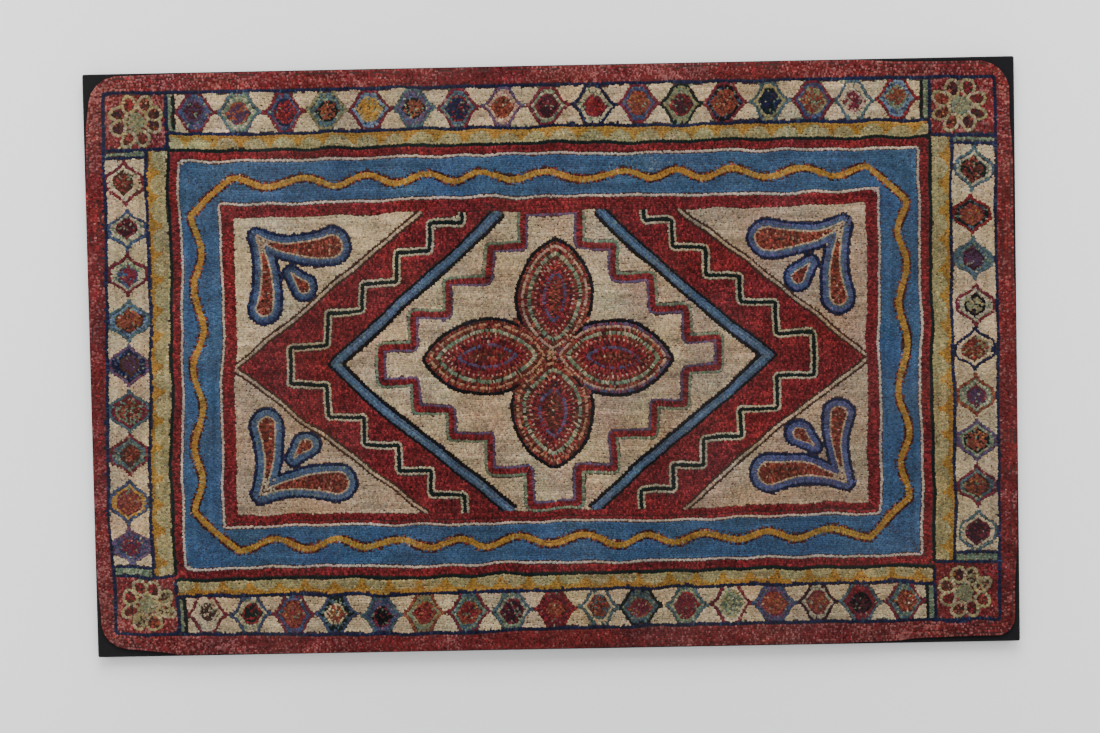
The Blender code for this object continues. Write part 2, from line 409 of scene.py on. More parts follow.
class RugDesign(bpy.types.PropertyGroup):
    """Sizes of the motifs that repeat."""

    lozenge_length: bpy.props.FloatProperty(
        name="Lozenge length", description="From tip to tip of a border lozenge",
        default=0.068, unit="LENGTH", precision=4,
    )
    lozenge_width: bpy.props.FloatProperty(
        name="Lozenge width", description="Across a border lozenge",
        default=0.059, unit="LENGTH", precision=4,
    )
    wave_height: bpy.props.FloatProperty(
        name="Wave height", description="How far the ochre wave swings to each side",
        default=0.0069, unit="LENGTH", precision=4,
    )
    scallop_pitch: bpy.props.FloatProperty(
        name="Scallop pitch", description="Distance between the points of the ochre strips",
        default=0.0435, unit="LENGTH", precision=4,
    )
    petal_ring: bpy.props.FloatProperty(
        name="Rosette radius", description="From a rosette's middle to the middle of its petals",
        default=0.0292, unit="LENGTH", precision=4,
    )


class RugWools(bpy.types.PropertyGroup):
    """The colours of the wools, as they look in even light."""

    __annotations__ = {name: wool_colour(name) for name in WOOLS}


class RugStage(bpy.types.PropertyGroup):
    """The studio round the rug."""

    floor_colour: bpy.props.FloatVectorProperty(
        name="Floor", description="Colour of the studio floor",
        subtype="COLOR", size=3, min=0.0, max=1.0, default=(0.90, 0.905, 0.92),
    )
    lens: bpy.props.FloatProperty(
        name="Lens", description="Focal length of the camera in millimetres",
        default=72.3, min=20.0, max=200.0,
    )
    camera_place: bpy.props.FloatVectorProperty(
        name="Camera", description="Where the camera stands, straight above the rug",
        subtype="TRANSLATION", unit="LENGTH", size=3, default=(0.0223, 0.1290, 3.4757),
    )
    camera_turn: bpy.props.FloatVectorProperty(
        name="Camera turn", description="How the camera is tilted and rolled",
        subtype="EULER", unit="ROTATION", size=3,
        default=(math.radians(-2.347), math.radians(0.401), math.radians(-1.111)),
    )
    key_power: bpy.props.FloatProperty(
        name="Softbox power", description="Power of each large softbox in watts",
        default=165.0, min=0.0,
    )
    fill_light: bpy.props.FloatProperty(
        name="Fill light", description="Strength of the even light from all round",
        default=0.90, min=0.0,
    )


def ripple(x, y, wavelength, seed, waves=6):
    """Smooth noise about zero: sines of like wavelength in seeded directions, added up."""
    chance = np.random.default_rng(seed)
    total = np.zeros(np.broadcast(x, y).shape)
    for _ in range(waves):
        turn = chance.uniform(0, 2 * math.pi)
        length = wavelength * chance.uniform(0.6, 1.6)
        phase = chance.uniform(0, 2 * math.pi)
        total += np.sin((x * math.cos(turn) + y * math.sin(turn)) * 2 * math.pi / length + phase)
    return total / math.sqrt(waves / 2)


def smooth_step(value, low, high):
    """0 below low, 1 above high and an even S between them."""
    share = np.clip((value - low) / (high - low), 0, 1)
    return share * share * (3 - 2 * share)


def linear_colour(srgb):
    """Linear light from sRGB values."""
    srgb = np.asarray(srgb, float)
    return np.where(srgb <= 0.04045, srgb / 12.92, ((srgb + 0.055) / 1.055) ** 2.4)


def rug_outline():
    """The rug's own outline in millimetres, read round the rim of its solid."""
    points = np.array([corner.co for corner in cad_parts["rug"].data.vertices])
    low, high = (RUG_BOX[0][2] + height for height in RIM_HEIGHTS)
    rim = points[(points[:, 2] > low) & (points[:, 2] < high), :2] / MM
    turn = np.arctan2(rim[:, 1] / PANEL_BOX[1][1], rim[:, 0] / PANEL_BOX[1][0])
    rim = rim[np.argsort(turn)]
    return rim[np.hypot(*(rim - np.roll(rim, 1, axis=0)).T) > RIM_SPACING]


def resampled(path, pitch, closed=False):
    """Evenly spaced points along a path, and the angle of travel at each."""
    path = np.asarray(path, float)
    if closed:
        path = np.vstack([path, path[:1]])
    reach = np.concatenate([[0.0], np.cumsum(np.hypot(*np.diff(path, axis=0).T))])
    total = reach[-1]
    count = max(int(round(total / pitch)), 1)
    at = (np.arange(count) + 0.5) * total / count
    near, far = at - 0.8, at + 0.8
    if closed:
        near, far = near % total, far % total
    else:
        near, far = np.clip(near, 0, total), np.clip(far, 0, total)
    place = np.stack([np.interp(at, reach, path[:, axis]) for axis in (0, 1)], 1)
    step = np.stack(
        [np.interp(far, reach, path[:, a]) - np.interp(near, reach, path[:, a]) for a in (0, 1)], 1
    )
    return place, np.arctan2(step[:, 1], step[:, 0])


def beside(path, distance, closed=False):
    """The path moved to its left by a distance, with mitred corners."""
    path = np.asarray(path, float)
    ends = np.vstack([path[-1:], path, path[:1]]) if closed else path
    legs = np.diff(ends, axis=0)
    legs /= np.maximum(np.hypot(legs[:, 0], legs[:, 1]), 1e-9)[:, None]
    normals = np.stack([-legs[:, 1], legs[:, 0]], 1)
    if closed:
        before, after = normals[:-1], normals[1:]
    else:
        before = np.vstack([normals[:1], normals])
        after = np.vstack([normals, normals[-1:]])
    share = np.maximum(1 + np.sum(before * after, axis=1), 0.35)
    return path + distance * (before + after) / share[:, None]


def rounded(path, radius, closed=False):
    """The path with each corner swapped for a short curve that starts a radius before it."""
    path = np.asarray(path, float)
    before = np.roll(path, 1, axis=0) if closed else np.vstack([path[:1], path[:-1]])
    after = np.roll(path, -1, axis=0) if closed else np.vstack([path[1:], path[-1:]])
    legs = [other - path for other in (before, after)]
    sizes = [np.maximum(np.hypot(leg[:, 0], leg[:, 1]), 1e-6) for leg in legs]
    starts = [
        path + leg * (np.minimum(radius, size * 0.5) / size)[:, None]
        for leg, size in zip(legs, sizes)
    ]
    share = np.linspace(0, 1, 5)[None, :, None]
    curve = (
        starts[0][:, None] * (1 - share) ** 2
        + path[:, None] * 2 * share * (1 - share)
        + starts[1][:, None] * share**2
    )
    return curve.reshape(-1, 2)


def frame_path(frame_sides):
    """A frame's four corners, taken anticlockwise."""
    left, right, bottom, top = frame_sides
    return np.array([[left, bottom], [right, bottom], [right, top], [left, top]])


def between(outer, inner, share):
    """A frame that lies a share of the way from an outer one to an inner one."""
    return tuple(a + (b - a) * share for a, b in zip(outer, inner))


def drop_path(shape, depth):
    """A drop: circles along a bent spine, growing from round tip to bulb, less the depth."""
    (tip_x, tip_y), (bulb_x, bulb_y), tip_radius, bulb_radius, bend = shape
    share = np.linspace(0, 1, 40)
    tip, bulb = np.array([tip_x, tip_y]), np.array([bulb_x, bulb_y])
    run = bulb - tip
    side = np.array([-run[1], run[0]]) / np.hypot(*run)
    spine = tip + run * share[:, None] + side * (bend * 4 * share * (1 - share))[:, None]
    radius = tip_radius + (bulb_radius - tip_radius) * share**1.25 - depth
    spine, radius = spine[radius > 0.8], radius[radius > 0.8]
    if len(spine) < 2:
        return None
    leg = np.gradient(spine, axis=0)
    leg /= np.hypot(leg[:, 0], leg[:, 1])[:, None]
    normal = np.stack([-leg[:, 1], leg[:, 0]], 1)
    heading = math.atan2(leg[-1, 1], leg[-1, 0])
    turn = np.linspace(heading + math.pi / 2, heading - math.pi / 2, 24)[1:-1]
    round_bulb = spine[-1] + radius[-1] * np.stack([np.cos(turn), np.sin(turn)], 1)
    heading = math.atan2(leg[0, 1], leg[0, 0])
    turn = np.linspace(heading - math.pi / 2, heading - 3 * math.pi / 2, 16)[1:-1]
    round_tip = spine[0] + radius[0] * np.stack([np.cos(turn), np.sin(turn)], 1)
    left = spine + normal * radius[:, None]
    right = (spine - normal * radius[:, None])[::-1]
    return np.vstack([left, round_bulb, right, round_tip])


def lozenge_path(middle, length, width, neck, upright):
    """An ogee lozenge: its width falls as 1 / (1 + (way out / neck)^4.6) towards its two tips."""
    out = np.linspace(-1, 1, 48)
    tip = 1 / (1 + neck**-4.6)
    height = (1 / (1 + np.abs(out / neck) ** 4.6) - tip * np.abs(out)) * width / 2
    along = np.concatenate([out, out[::-1][1:-1]]) * length / 2
    across = np.concatenate([height, -height[::-1][1:-1]])
    pair = (across, along) if upright else (along, across)
    return np.stack(pair, 1) + np.asarray(middle, float)


def petal_path(length, width, depth):
    """A petal along +x: two arcs, cut by the two diagonals and moved inwards by the depth."""
    half = length / 2
    radius = (half**2 + (width / 2) ** 2) / width
    sink = radius - width / 2
    x = np.linspace(0, length, 160)
    arc = np.sqrt(np.maximum((radius - depth) ** 2 - (x - half) ** 2, 0)) - sink
    slant = (x - max(depth - DIAGONAL_DEPTH, 0) * math.sqrt(2)) * 1.02
    height = np.minimum(arc, slant)
    keep = height > 0.4
    if keep.sum() < 4:
        return None, None
    on_arc = (arc <= slant)[keep]
    upper = np.stack([x[keep], height[keep]], 1)
    lower = upper[::-1] * (1, -1)
    return np.vstack([upper, lower]), np.concatenate([on_arc, on_arc[::-1]])


def turned(path, degrees, middle):
    """A path turned about zero and moved to its middle."""
    angle = math.radians(degrees)
    spin = np.array([[math.cos(angle), math.sin(angle)], [-math.sin(angle), math.cos(angle)]])
    return path @ spin + np.asarray(middle, float)


def wave_path(swing):
    """The ochre wave's middle line: a cosine whose crests are at the places in the tables."""
    sides = []
    given = (WAVE_TOP, 1), (WAVE_RIGHT, 1), (WAVE_BOTTOM, -1), (WAVE_LEFT, -1)
    for (crests, middle), outward in given:
        crests = np.asarray(crests, float)
        order = np.argsort(crests)
        along = np.linspace(crests[0], crests[-1], 240)
        phase = np.interp(along, crests[order], np.arange(len(crests), dtype=float)[order])
        off = middle + outward * swing * np.cos(2 * math.pi * phase)
        level = abs(middle) < 400
        sides.append(np.stack([along, off] if level else [off, along], 1))
    return np.vstack(sides)[::-1]


class Backing:
    """The ground cloth as it is hooked: which places hold a loop, of what wool, lying how."""

    left, bottom, cell = -740.0, -470.0, 0.7

    def __init__(self, hooking):
        self.pitch = hooking.loop_pitch / MM
        self.row = hooking.row_pitch / MM
        self.chance = np.random.default_rng(hooking.seed)
        shape = (int(-2 * self.bottom / self.cell), int(-2 * self.left / self.cell))
        self.taken = np.zeros(shape, bool)
        self.wool_at = np.zeros(shape, np.uint8)
        self.lie_at = np.zeros(shape, np.float32)
        rows, columns = np.indices(shape, dtype=np.float32)
        self.x = self.left + (columns + 0.5) * self.cell
        self.y = self.bottom + (rows + 0.5) * self.cell
        self.strands = 0
        self.hooked = []

    def cells(self, x, y):
        """Row and column of the raster under each point."""
        columns = np.clip(((x - self.left) / self.cell).astype(int), 0, self.taken.shape[1] - 1)
        rows = np.clip(((y - self.bottom) / self.cell).astype(int), 0, self.taken.shape[0] - 1)
        return rows, columns

    def footprint(self, loops, scale, along, across):
        """Cells under each loop, sampled on an even grid of its length and width."""
        x, y, angle, width = loops
        u, v = np.meshgrid(np.linspace(-0.5, 0.5, along), np.linspace(-0.5, 0.5, across))
        u = u.ravel() * self.pitch * scale
        v = v.ravel() * scale
        cos, sin = np.cos(angle)[:, None], np.sin(angle)[:, None]
        v = v * width[:, None]
        return self.cells(x[:, None] + u * cos - v * sin, y[:, None] + u * sin + v * cos)

    def place(self, x, y, angle, width, wool, strand, lean=0.0, limit=0.3, region=None):
        """Pulls up the loops that have room, and marks their places as taken."""
        width = np.broadcast_to(np.asarray(width, float), x.shape)
        keep = self.taken[self.footprint((x, y, angle, width), 0.84, 3, 5)].mean(1) <= limit
        if region is not None:
            keep &= region[self.cells(x, y)]
        lean = np.broadcast_to(np.asarray(lean, float), x.shape)
        x, y, angle, width, wool, strand, lean = (
            part[keep] for part in (x, y, angle, width, wool, strand, lean)
        )
        if len(x):
            spot = self.footprint((x, y, angle, width), 1.0, 5, 8)
            self.taken[spot] = True
            self.wool_at[spot] = wool[:, None] + 1
            self.lie_at[spot] = angle[:, None]
            self.hooked.append((x, y, angle, width, wool, strand, lean))

    def wools(self, wool, x, y):
        """Wool numbers for points: one wool's name, or a rule of x, y and place in the row."""
        if isinstance(wool, str):
            return np.full(x.shape, WOOL_NUMBER[wool])
        return wool(x, y, np.arange(len(x)))

    def mixture(self, rest, **shares):
        """A rule that gives each loop one of several wools by chance, in the given shares."""

        def rule(x, y, _):
            pick = self.chance.random(len(x))
            limits = np.cumsum(list(shares.values()))
            numbers = [WOOL_NUMBER[name] for name in shares]
            return np.select([pick < limit for limit in limits], numbers, WOOL_NUMBER[rest])

        return rule

    def heather(self, x, y, _):
        """A rule of wools: brick with madder and rose, more of the rose towards the corners."""
        pick = self.chance.random(len(x))
        corner = smooth_step(np.abs(x) / 725.0 + np.abs(y) / 457.0, 1.35, 1.85)
        stretch = 0.10 * ripple(x, y, 260.0, 61) + 0.07 * ripple(x, y, 40.0, 62)
        pale = 0.10 + 0.24 * corner + 0.10 * smooth_step(y, 330.0, 420.0) + stretch
        picked = [pick < pale, pick < pale + 0.25 - stretch]
        strewn = [WOOL_NUMBER["rose"], WOOL_NUMBER["madder"]]
        return np.select(picked, strewn, WOOL_NUMBER["brick"])

    def hook(self, path, wool, width=4.2, closed=False, lean=0.0, limit=0.3, region=None):
        """Hooks one row of loops along a path."""
        place, angle = resampled(path, self.pitch, closed)
        x, y = place[:, 0], place[:, 1]
        lengths = (np.arange(len(x)) + self.chance.integers(24)) // 24
        strand = self.strands + lengths
        self.strands += int(lengths[-1]) + 1
        self.place(x, y, angle, width, self.wools(wool, x, y), strand, lean, limit, region)

    def fill(self, region, wool, lie=0.0):
        """Fills a region with rows that run at one angle, a little wavy."""
        width = self.row
        x, y = self.x[region], self.y[region]
        if not len(x):
            return
        cos, sin = math.cos(math.radians(lie)), math.sin(math.radians(lie))
        u, v = x * cos + y * sin, -x * sin + y * cos
        rows = np.arange(v.min() - width, v.max() + width, width)
        steps = np.arange(u.min() - self.pitch, u.max() + self.pitch, self.pitch)
        row_v, row_u = np.meshgrid(rows, steps, indexing="ij")
        row_u = row_u + self.chance.uniform(0, self.pitch, (len(rows), 1))
        row_v = row_v + ripple(row_u, row_v * 0.3, 90.0, self.strands + 11) * 0.35
        row_v = row_v + ripple(row_u, row_v * 2.0, 17.0, self.strands + 12) * 0.30
        strand = self.strands + np.arange(len(rows))[:, None] * 1000
        strand = strand + ((row_u - u.min()) / self.pitch).astype(int) // 24
        self.strands += 1000 * len(rows)
        x, y = row_u * cos - row_v * sin, row_u * sin + row_v * cos
        x, y, strand = x.ravel(), y.ravel(), strand.ravel()
        inside = region[self.cells(x, y)]
        x, y, strand = x[inside], y[inside], strand[inside]
        angle = np.full(x.shape, math.radians(lie))
        self.place(x, y, angle, width, self.wools(wool, x, y), strand)

    def close_gaps(self, region, width=3.5):
        """Pulls a loop up in every hole that is left, of its neighbours' wool and lie."""
        block, reach = 5, 2
        span = 2 * reach + 1
        rows, columns = np.nonzero(region.any(axis=1))[0], np.nonzero(region.any(axis=0))[0]
        if not len(rows):
            return
        row, column = max(rows[0] - 8, 0), max(columns[0] - 8, 0)
        window = np.s_[row:rows[-1] + 9, column:columns[-1] + 9]
        region, x_at, y_at = region[window], self.x[window], self.y[window]
        for turn in range(8):
            least, first_row, first_column = (0.95, 0.75)[turn // 4], turn // 2 % 2, turn % 2
            free = ~self.taken[window]
            sums = np.cumsum(np.cumsum(free, axis=0, dtype=np.int32), axis=1)
            room = np.zeros(free.shape, np.float32)
            room[reach + 1:-reach, reach + 1:-reach] = (
                sums[span:, span:] - sums[:-span, span:] - sums[span:, :-span] + sums[:-span, :-span]
            ) / span**2
            rows, columns = np.nonzero(region & (room >= least))
            mine = (rows // block % 2 == first_row) & (columns // block % 2 == first_column)
            rows, columns = rows[mine], columns[mine]
            if not len(rows):
                continue
            key = rows // block * 10000 + columns // block
            order = np.lexsort((-room[rows, columns], key))
            _, first = np.unique(key[order], return_index=True)
            rows, columns = rows[order[first]], columns[order[first]]
            self.mend(x_at[rows, columns].astype(float), y_at[rows, columns].astype(float), width)

    def mend(self, x, y, width):
        """Hooks single loops that copy the wool and the lie of the loops round them."""
        turn = np.linspace(0, 2 * math.pi, 8, endpoint=False) + self.chance.uniform(0, 6.3)
        near = self.cells(x[:, None] + 3.2 * np.cos(turn), y[:, None] + 3.2 * np.sin(turn))
        wool = self.wool_at[near].astype(int)
        lie = self.lie_at[near]
        held = wool > 0
        angle = np.arctan2((np.sin(2 * lie) * held).sum(1), (np.cos(2 * lie) * held).sum(1)) / 2
        first = np.argmax(held, axis=1)
        wool = np.maximum(wool[np.arange(len(x)), first] - 1, 0)
        strand = self.strands + np.arange(len(x))
        self.strands += len(x)
        known = held.any(axis=1)
        self.place(x[known], y[known], angle[known], width, wool[known], strand[known], limit=0.5)

    def lift_off(self):
        """The loops hooked since the last call, as whole arrays."""
        loops = [np.concatenate(part) for part in zip(*self.hooked)]
        self.hooked = []
        return loops

    def frame_region(self, outer, inner=None):
        """Cells inside a frame, and outside another where one is given."""
        left, right, bottom, top = outer
        region = (self.x > left) & (self.x < right) & (self.y > bottom) & (self.y < top)
        if inner is not None:
            left, right, bottom, top = inner
            region &= ~((self.x > left) & (self.x < right) & (self.y > bottom) & (self.y < top))
        return region

    def path_region(self, path):
        """Cells inside a closed path: each leg toggles the rest of the rows that it crosses."""
        path = np.asarray(path, float)
        toggles = np.zeros((self.taken.shape[0], self.taken.shape[1] + 1), np.int16)
        level = self.y[:, 0]
        for (x0, y0), (x1, y1) in zip(path, np.roll(path, -1, axis=0)):
            rows = np.nonzero((y0 > level) != (y1 > level))[0]
            if len(rows):
                x = (x1 - x0) * (level[rows] - y0) / (y1 - y0) + x0
                columns = np.clip(np.round((x - self.left) / self.cell), 0, self.taken.shape[1])
                np.add.at(toggles, (rows, columns.astype(int)), 1)
        return np.cumsum(toggles, axis=1)[:, :-1] % 2 == 1


WORK = {}


def backing():
    """The ground cloth that all the hooking operators share."""
    if "backing" not in WORK:
        WORK["backing"] = Backing(bpy.context.scene.rug_hooking)
    return WORK["backing"]


def soft_spot(x, y, middle, reach):
    """1 at a middle, falling as the bell curve exp(-square of the way) to 0 past its reach."""
    return np.exp(-((x - middle[0]) / reach[0]) ** 2 - ((y - middle[1]) / reach[1]) ** 2)


def strayed(x, y, wander):
    """Drawn places moved to where the hand put them, but kept at the rug's edge."""
    depth = np.minimum(PANEL_BOX[1][0] / MM - np.abs(x), PANEL_BOX[1][1] / MM - np.abs(y))
    pull = wander * smooth_step(depth, 10.0, 50.0)
    slow = ripple(x, y, 330.0, 21), ripple(x, y, 330.0, 22)
    quick = ripple(x, y, 105.0, 23), ripple(x, y, 105.0, 24)
    move_x = pull * (0.35 * slow[0] + 0.40 * quick[0])
    move_y = pull * (0.35 * slow[1] + 0.40 * quick[1])
    held = smooth_step(depth, 0.0, 30.0)
    for middle, reach, move in PULLS:
        near = held * soft_spot(x, y, middle, reach)
        move_x, move_y = move_x + near * move[0], move_y + near * move[1]
    return x + move_x, y + move_y


def ground_height(x, y):
    """Height of the ground cloth in metres, which is nearly flat."""
    top = RUG_BOX[1][2] - PILE_DEPTH
    swell = 0.00022 * ripple(x, y, 300.0, 31) + 0.00010 * ripple(x, y, 80.0, 32)
    return top + swell


def loop_colours(x, y, lie, wool, strand, wools, unevenness):
    """A linear colour for each loop: its wool, flecked and patchy, with its tone varied at random
    partly as painted shade between the loops, and paler to the upper left as painted light.
    """
    chance = np.random.default_rng(101)
    base = np.array([linear_colour(getattr(wools, name)) for name in WOOLS])
    pick = chance.random(len(x))
    shown = wool.copy()
    for name, (_, _, flecks) in WOOLS.items():
        low = 0.0
        for fleck, share in flecks:
            own = (wool == WOOL_NUMBER[name]) & (pick >= low) & (pick < low + share)
            shown[own] = WOOL_NUMBER[fleck]
            low += share
    colour = base[shown] * 0.5 + base[wool] * 0.5
    uneven = np.array([spec[1] for spec in WOOLS.values()])[wool] * unevenness
    streak = np.random.default_rng(5).normal(size=4096)[strand % 4096]
    u, v = x * np.cos(lie) + y * np.sin(lie), y * np.cos(lie) - x * np.sin(lie)
    patch = 0.45 * ripple(u / 7, v, 15.0, 42) + 0.40 * ripple(x, y, 45.0, 45)
    patch += 0.30 * ripple(x, y, 200.0, 41)
    # Painted light: the loops are made paler towards the top and darker towards the right, as the
    # light falls off.
    painted_light_falloff = 0.05 * y / 430.0 - 0.10 * smooth_step(x, 0.0, 680.0)
    # Per-loop tone: real dye unevenness, made strong enough to serve also as painted shade between
    # the loops.
    dye_grain_and_painted_shade = 0.75 * uneven * np.clip(chance.normal(size=len(x)), -2.5, 1.6)
    value = np.exp(dye_grain_and_painted_shade + np.minimum(uneven, 0.26) * (0.12 * streak + 0.8 * patch) + painted_light_falloff)
    warmth = 0.035 * ripple(x, y, 150.0, 43) + 0.05 * chance.normal(size=len(x))
    pinkness = 0.022 * ripple(x, y, 110.0, 44) + 0.03 * chance.normal(size=len(x))
    colour = colour * value[:, None] * np.stack([1 + warmth, 1 - pinkness, 1 - warmth], 1)
    return np.clip(colour, 0.002, 0.95)


def tiled_map(x, y, centre_x, centre_y, tile=80.0, margin=3.2):
    """Each loop seen from above, on square tiles of the rug that are packed side by side."""
    column, row = np.floor(centre_x / tile), np.floor(centre_y / tile)
    key = row * 1000 + column
    names, number = np.unique(key, return_inverse=True)
    side = math.ceil(math.sqrt(len(names)))
    gutter = 2.0 / 1024
    scale = (1.0 / side - 2 * gutter) / (tile + 2 * margin)
    u = (number % side)[:, None] / side + gutter + (x - (column * tile - margin)[:, None]) * scale
    v = (number // side)[:, None] / side + gutter + (y - (row * tile - margin)[:, None]) * scale
    return u, v


def pile_object(name, loops):
    """Joined loops, each a low mound: a four-cornered foot and one crest above its middle."""
    hooking = bpy.context.scene.rug_hooking
    x, y, angle, width, wool, strand, lean = loops
    chance = np.random.default_rng(len(x))
    count = len(x)
    x, y = strayed(x, y, hooking.wander / MM)
    half = hooking.loop_pitch / MM / 2
    foot_u = np.array([1, 1, -1, -1, 0]) * half * FOOT_ALONG
    foot_v = np.array([1, -1, -1, 1, 0]) * FOOT_ACROSS
    crest = np.array([0, 0, 0, 0, 1.0])
    # The rows that lean over the rim are held by it, so they stray much less.
    loose = np.where(lean > 0, 0.2, 1.0)
    turn = angle + loose * chance.normal(0, 0.32, count)
    along, across = loose * chance.normal(0, 0.35, count), loose * chance.normal(0, 0.55, count)
    width = width * (1 + loose * np.clip(chance.normal(0, 0.16, count), -0.3, 0.4))
    u = foot_u + along[:, None]
    v = foot_v * (width[:, None] / 2) + across[:, None] - crest * lean[:, None]
    cos, sin = np.cos(turn)[:, None], np.sin(turn)[:, None]
    px = x[:, None] + u * cos - v * sin
    py = y[:, None] + u * sin + v * cos
    ground = ground_height(x, y)[:, None] - np.abs(lean)[:, None] * 0.9 * MM
    tall = hooking.loop_height * (1 + np.clip(chance.normal(0, 0.17, (count, 1)), -0.4, 0.4))
    pz = ground - FOOT_SUNK + crest * (tall + FOOT_SUNK)
    corners = np.stack([px * MM, py * MM, pz], 2).reshape(-1, 3)
    faces = np.array([[1, 0, 4], [2, 1, 4], [3, 2, 4], [0, 3, 4]])
    faces = (np.arange(count)[:, None, None] * 5 + faces[None]).reshape(-1, 3)
    mesh = bpy.data.meshes.new(name)
    mesh.from_pydata(corners, [], faces)
    mesh.polygons.foreach_set("use_smooth", np.ones(len(faces), bool))
    wools = bpy.context.scene.rug_wools
    colour = loop_colours(x, y, angle, wool, strand, wools, hooking.unevenness)
    colour = np.repeat(np.concatenate([colour, np.ones((count, 1))], 1), 5, axis=0)
    shade = mesh.color_attributes.new("wool", "FLOAT_COLOR", "POINT")
    shade.data.foreach_set("color", colour.astype(np.float32).ravel())
    bake_u, bake_v = tiled_map(px, py, x, y)
    chart = np.stack([bake_u.ravel(), bake_v.ravel()], 1)[faces.ravel()]
    layer = mesh.uv_layers.new(name="OFBake")
    layer.data.foreach_set("uv", chart.astype(np.float32).ravel())
    mesh.materials.append(wool_pile())
    piece = bpy.data.objects.new(name, mesh)
    bpy.context.scene.collection.objects.link(piece)
    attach(piece, "root")
    WORK.setdefault("pile", []).append(piece)


def node_of(tree, kind, place, inputs=None, **values):
    """A new node in a tree, at a place, with its settings and then its inputs' values."""
    node = tree.nodes.new(kind)
    node.location = place
    for key, value in values.items():
        setattr(node, key, value)
    for socket, value in (inputs or {}).items():
        node.inputs[socket].default_value = value
    return node


def joined(tree, *wires):
    """Links sockets, each wire given as (node, its output, next node, its input)."""
    for source, output, target, place in wires:
        tree.links.new(source.outputs[output], target.inputs[place])


def new_group(name, inputs, outputs):
    """A node group with sockets, inputs as (name, kind, default) and outputs as (name, kind)."""
    tree = bpy.data.node_groups.new(name, "ShaderNodeTree")
    for label, kind, default in inputs:
        socket = tree.interface.new_socket(label, in_out="INPUT", socket_type=kind)
        if default is not None:
            socket.default_value = default
    for label, kind in outputs:
        tree.interface.new_socket(label, in_out="OUTPUT", socket_type=kind)
    given = node_of(tree, "NodeGroupInput", (-900, 0))
    return tree, given, node_of(tree, "NodeGroupOutput", (400, 0))


def fibre_group():
    """Shared effect: spun fibre. Fine, drawn-out noise that mottles a colour and lifts a nap."""
    if "Spun fibre" in bpy.data.node_groups:
        return bpy.data.node_groups["Spun fibre"]
    tree, given, result = new_group(
        "Spun fibre",
        (
            ("Colour", COLOUR, None), ("Fineness", NUMBER, 900.0), ("Mottle", NUMBER, 0.3),
            ("Fading", NUMBER, 0.1),
        ),
        (("Colour", COLOUR), ("Nap", NUMBER)),
    )
    where = node_of(tree, "ShaderNodeTexCoord", (-900, -300))
    fibre = node_of(tree, "ShaderNodeTexNoise", (-650, -150), {"Detail": 3.0, "Roughness": 0.65})
    fade = node_of(tree, "ShaderNodeTexNoise", (-650, -450), {"Scale": 6.0, "Detail": 4.0})
    centred = node_of(tree, "ShaderNodeMath", (-420, -150), {1: 0.5}, operation="SUBTRACT")
    swing = node_of(tree, "ShaderNodeMath", (-250, -150), {2: 1.0}, operation="MULTIPLY_ADD")
    scaled = node_of(tree, "ShaderNodeVectorMath", (-60, 0), operation="SCALE")
    limits = {"From Min": 0.45, "From Max": 0.75}
    worn = node_of(tree, "ShaderNodeMapRange", (-420, -450), limits)
    amount = node_of(tree, "ShaderNodeMath", (-220, -450), operation="MULTIPLY")
    dusty = node_of(tree, "ShaderNodeMix", (150, 0), {"B": DUST}, data_type="RGBA")
    joined(
        tree,
        (where, "Object", fibre, "Vector"),
        (where, "Object", fade, "Vector"),
        (given, "Fineness", fibre, "Scale"),
        (fibre, "Fac", centred, 0),
        (centred, 0, swing, 0),
        (given, "Mottle", swing, 1),
        (given, "Colour", scaled, 0),
        (swing, 0, scaled, "Scale"),
        (fade, "Fac", worn, "Value"),
        (worn, "Result", amount, 0),
        (given, "Fading", amount, 1),
        (amount, 0, dusty, "Factor"),
        (scaled, "Vector", dusty, "A"),
        (dusty, "Result", result, "Colour"),
        (fibre, "Fac", result, "Nap"),
    )
    return tree


def weave_group():
    """Shared effect: plain weave. Crossed sines along x and y, worked over and under."""
    if "Plain weave" in bpy.data.node_groups:
        return bpy.data.node_groups["Plain weave"]
    tree, given, result = new_group(
        "Plain weave", (("Threads", NUMBER, 1400.0), ("Slubs", NUMBER, 0.4)), (("Threads", NUMBER),)
    )
    where = node_of(tree, "ShaderNodeTexCoord", (-900, -300))
    spread = node_of(tree, "ShaderNodeVectorMath", (-650, 0), operation="SCALE")
    split = node_of(tree, "ShaderNodeSeparateXYZ", (-450, 0))
    depth = node_of(tree, "ShaderNodeMath", (-450, -200), operation="ADD")
    warp = node_of(tree, "ShaderNodeMath", (-250, 80), operation="SINE")
    weft = node_of(tree, "ShaderNodeMath", (-250, -120), operation="SINE")
    crossed = node_of(tree, "ShaderNodeMath", (-60, 0), operation="MULTIPLY")
    noise = node_of(tree, "ShaderNodeTexNoise", (-450, -420), {"Scale": 70.0, "Detail": 4.0})
    slub = node_of(tree, "ShaderNodeMath", (-60, -320), operation="MULTIPLY")
    total = node_of(tree, "ShaderNodeMath", (150, 0), operation="ADD")
    joined(
        tree,
        (where, "Object", spread, 0),
        (given, "Threads", spread, "Scale"),
        (spread, "Vector", split, 0),
        (split, "Y", depth, 0),
        (split, "Z", depth, 1),
        (split, "X", warp, 0),
        (depth, 0, weft, 0),
        (warp, 0, crossed, 0),
        (weft, 0, crossed, 1),
        (where, "Object", noise, "Vector"),
        (noise, "Fac", slub, 0),
        (given, "Slubs", slub, 1),
        (crossed, 0, total, 0),
        (slub, 0, total, 1),
        (total, 0, result, "Threads"),
    )
    return tree


def new_material(name, roughness, sheen):
    """A material with a Principled shader whose even values are set on its own sockets."""
    material = bpy.data.materials.new(name)
    material.use_nodes = True
    shader = material.node_tree.nodes["Principled BSDF"]
    shader.inputs["Roughness"].default_value = roughness
    shader.inputs["Metallic"].default_value = 0.0
    shader.inputs["Specular IOR Level"].default_value = 0.12
    shader.inputs["Sheen Weight"].default_value = sheen
    shader.inputs["Sheen Roughness"].default_value = 0.5
    return material, material.node_tree, shader


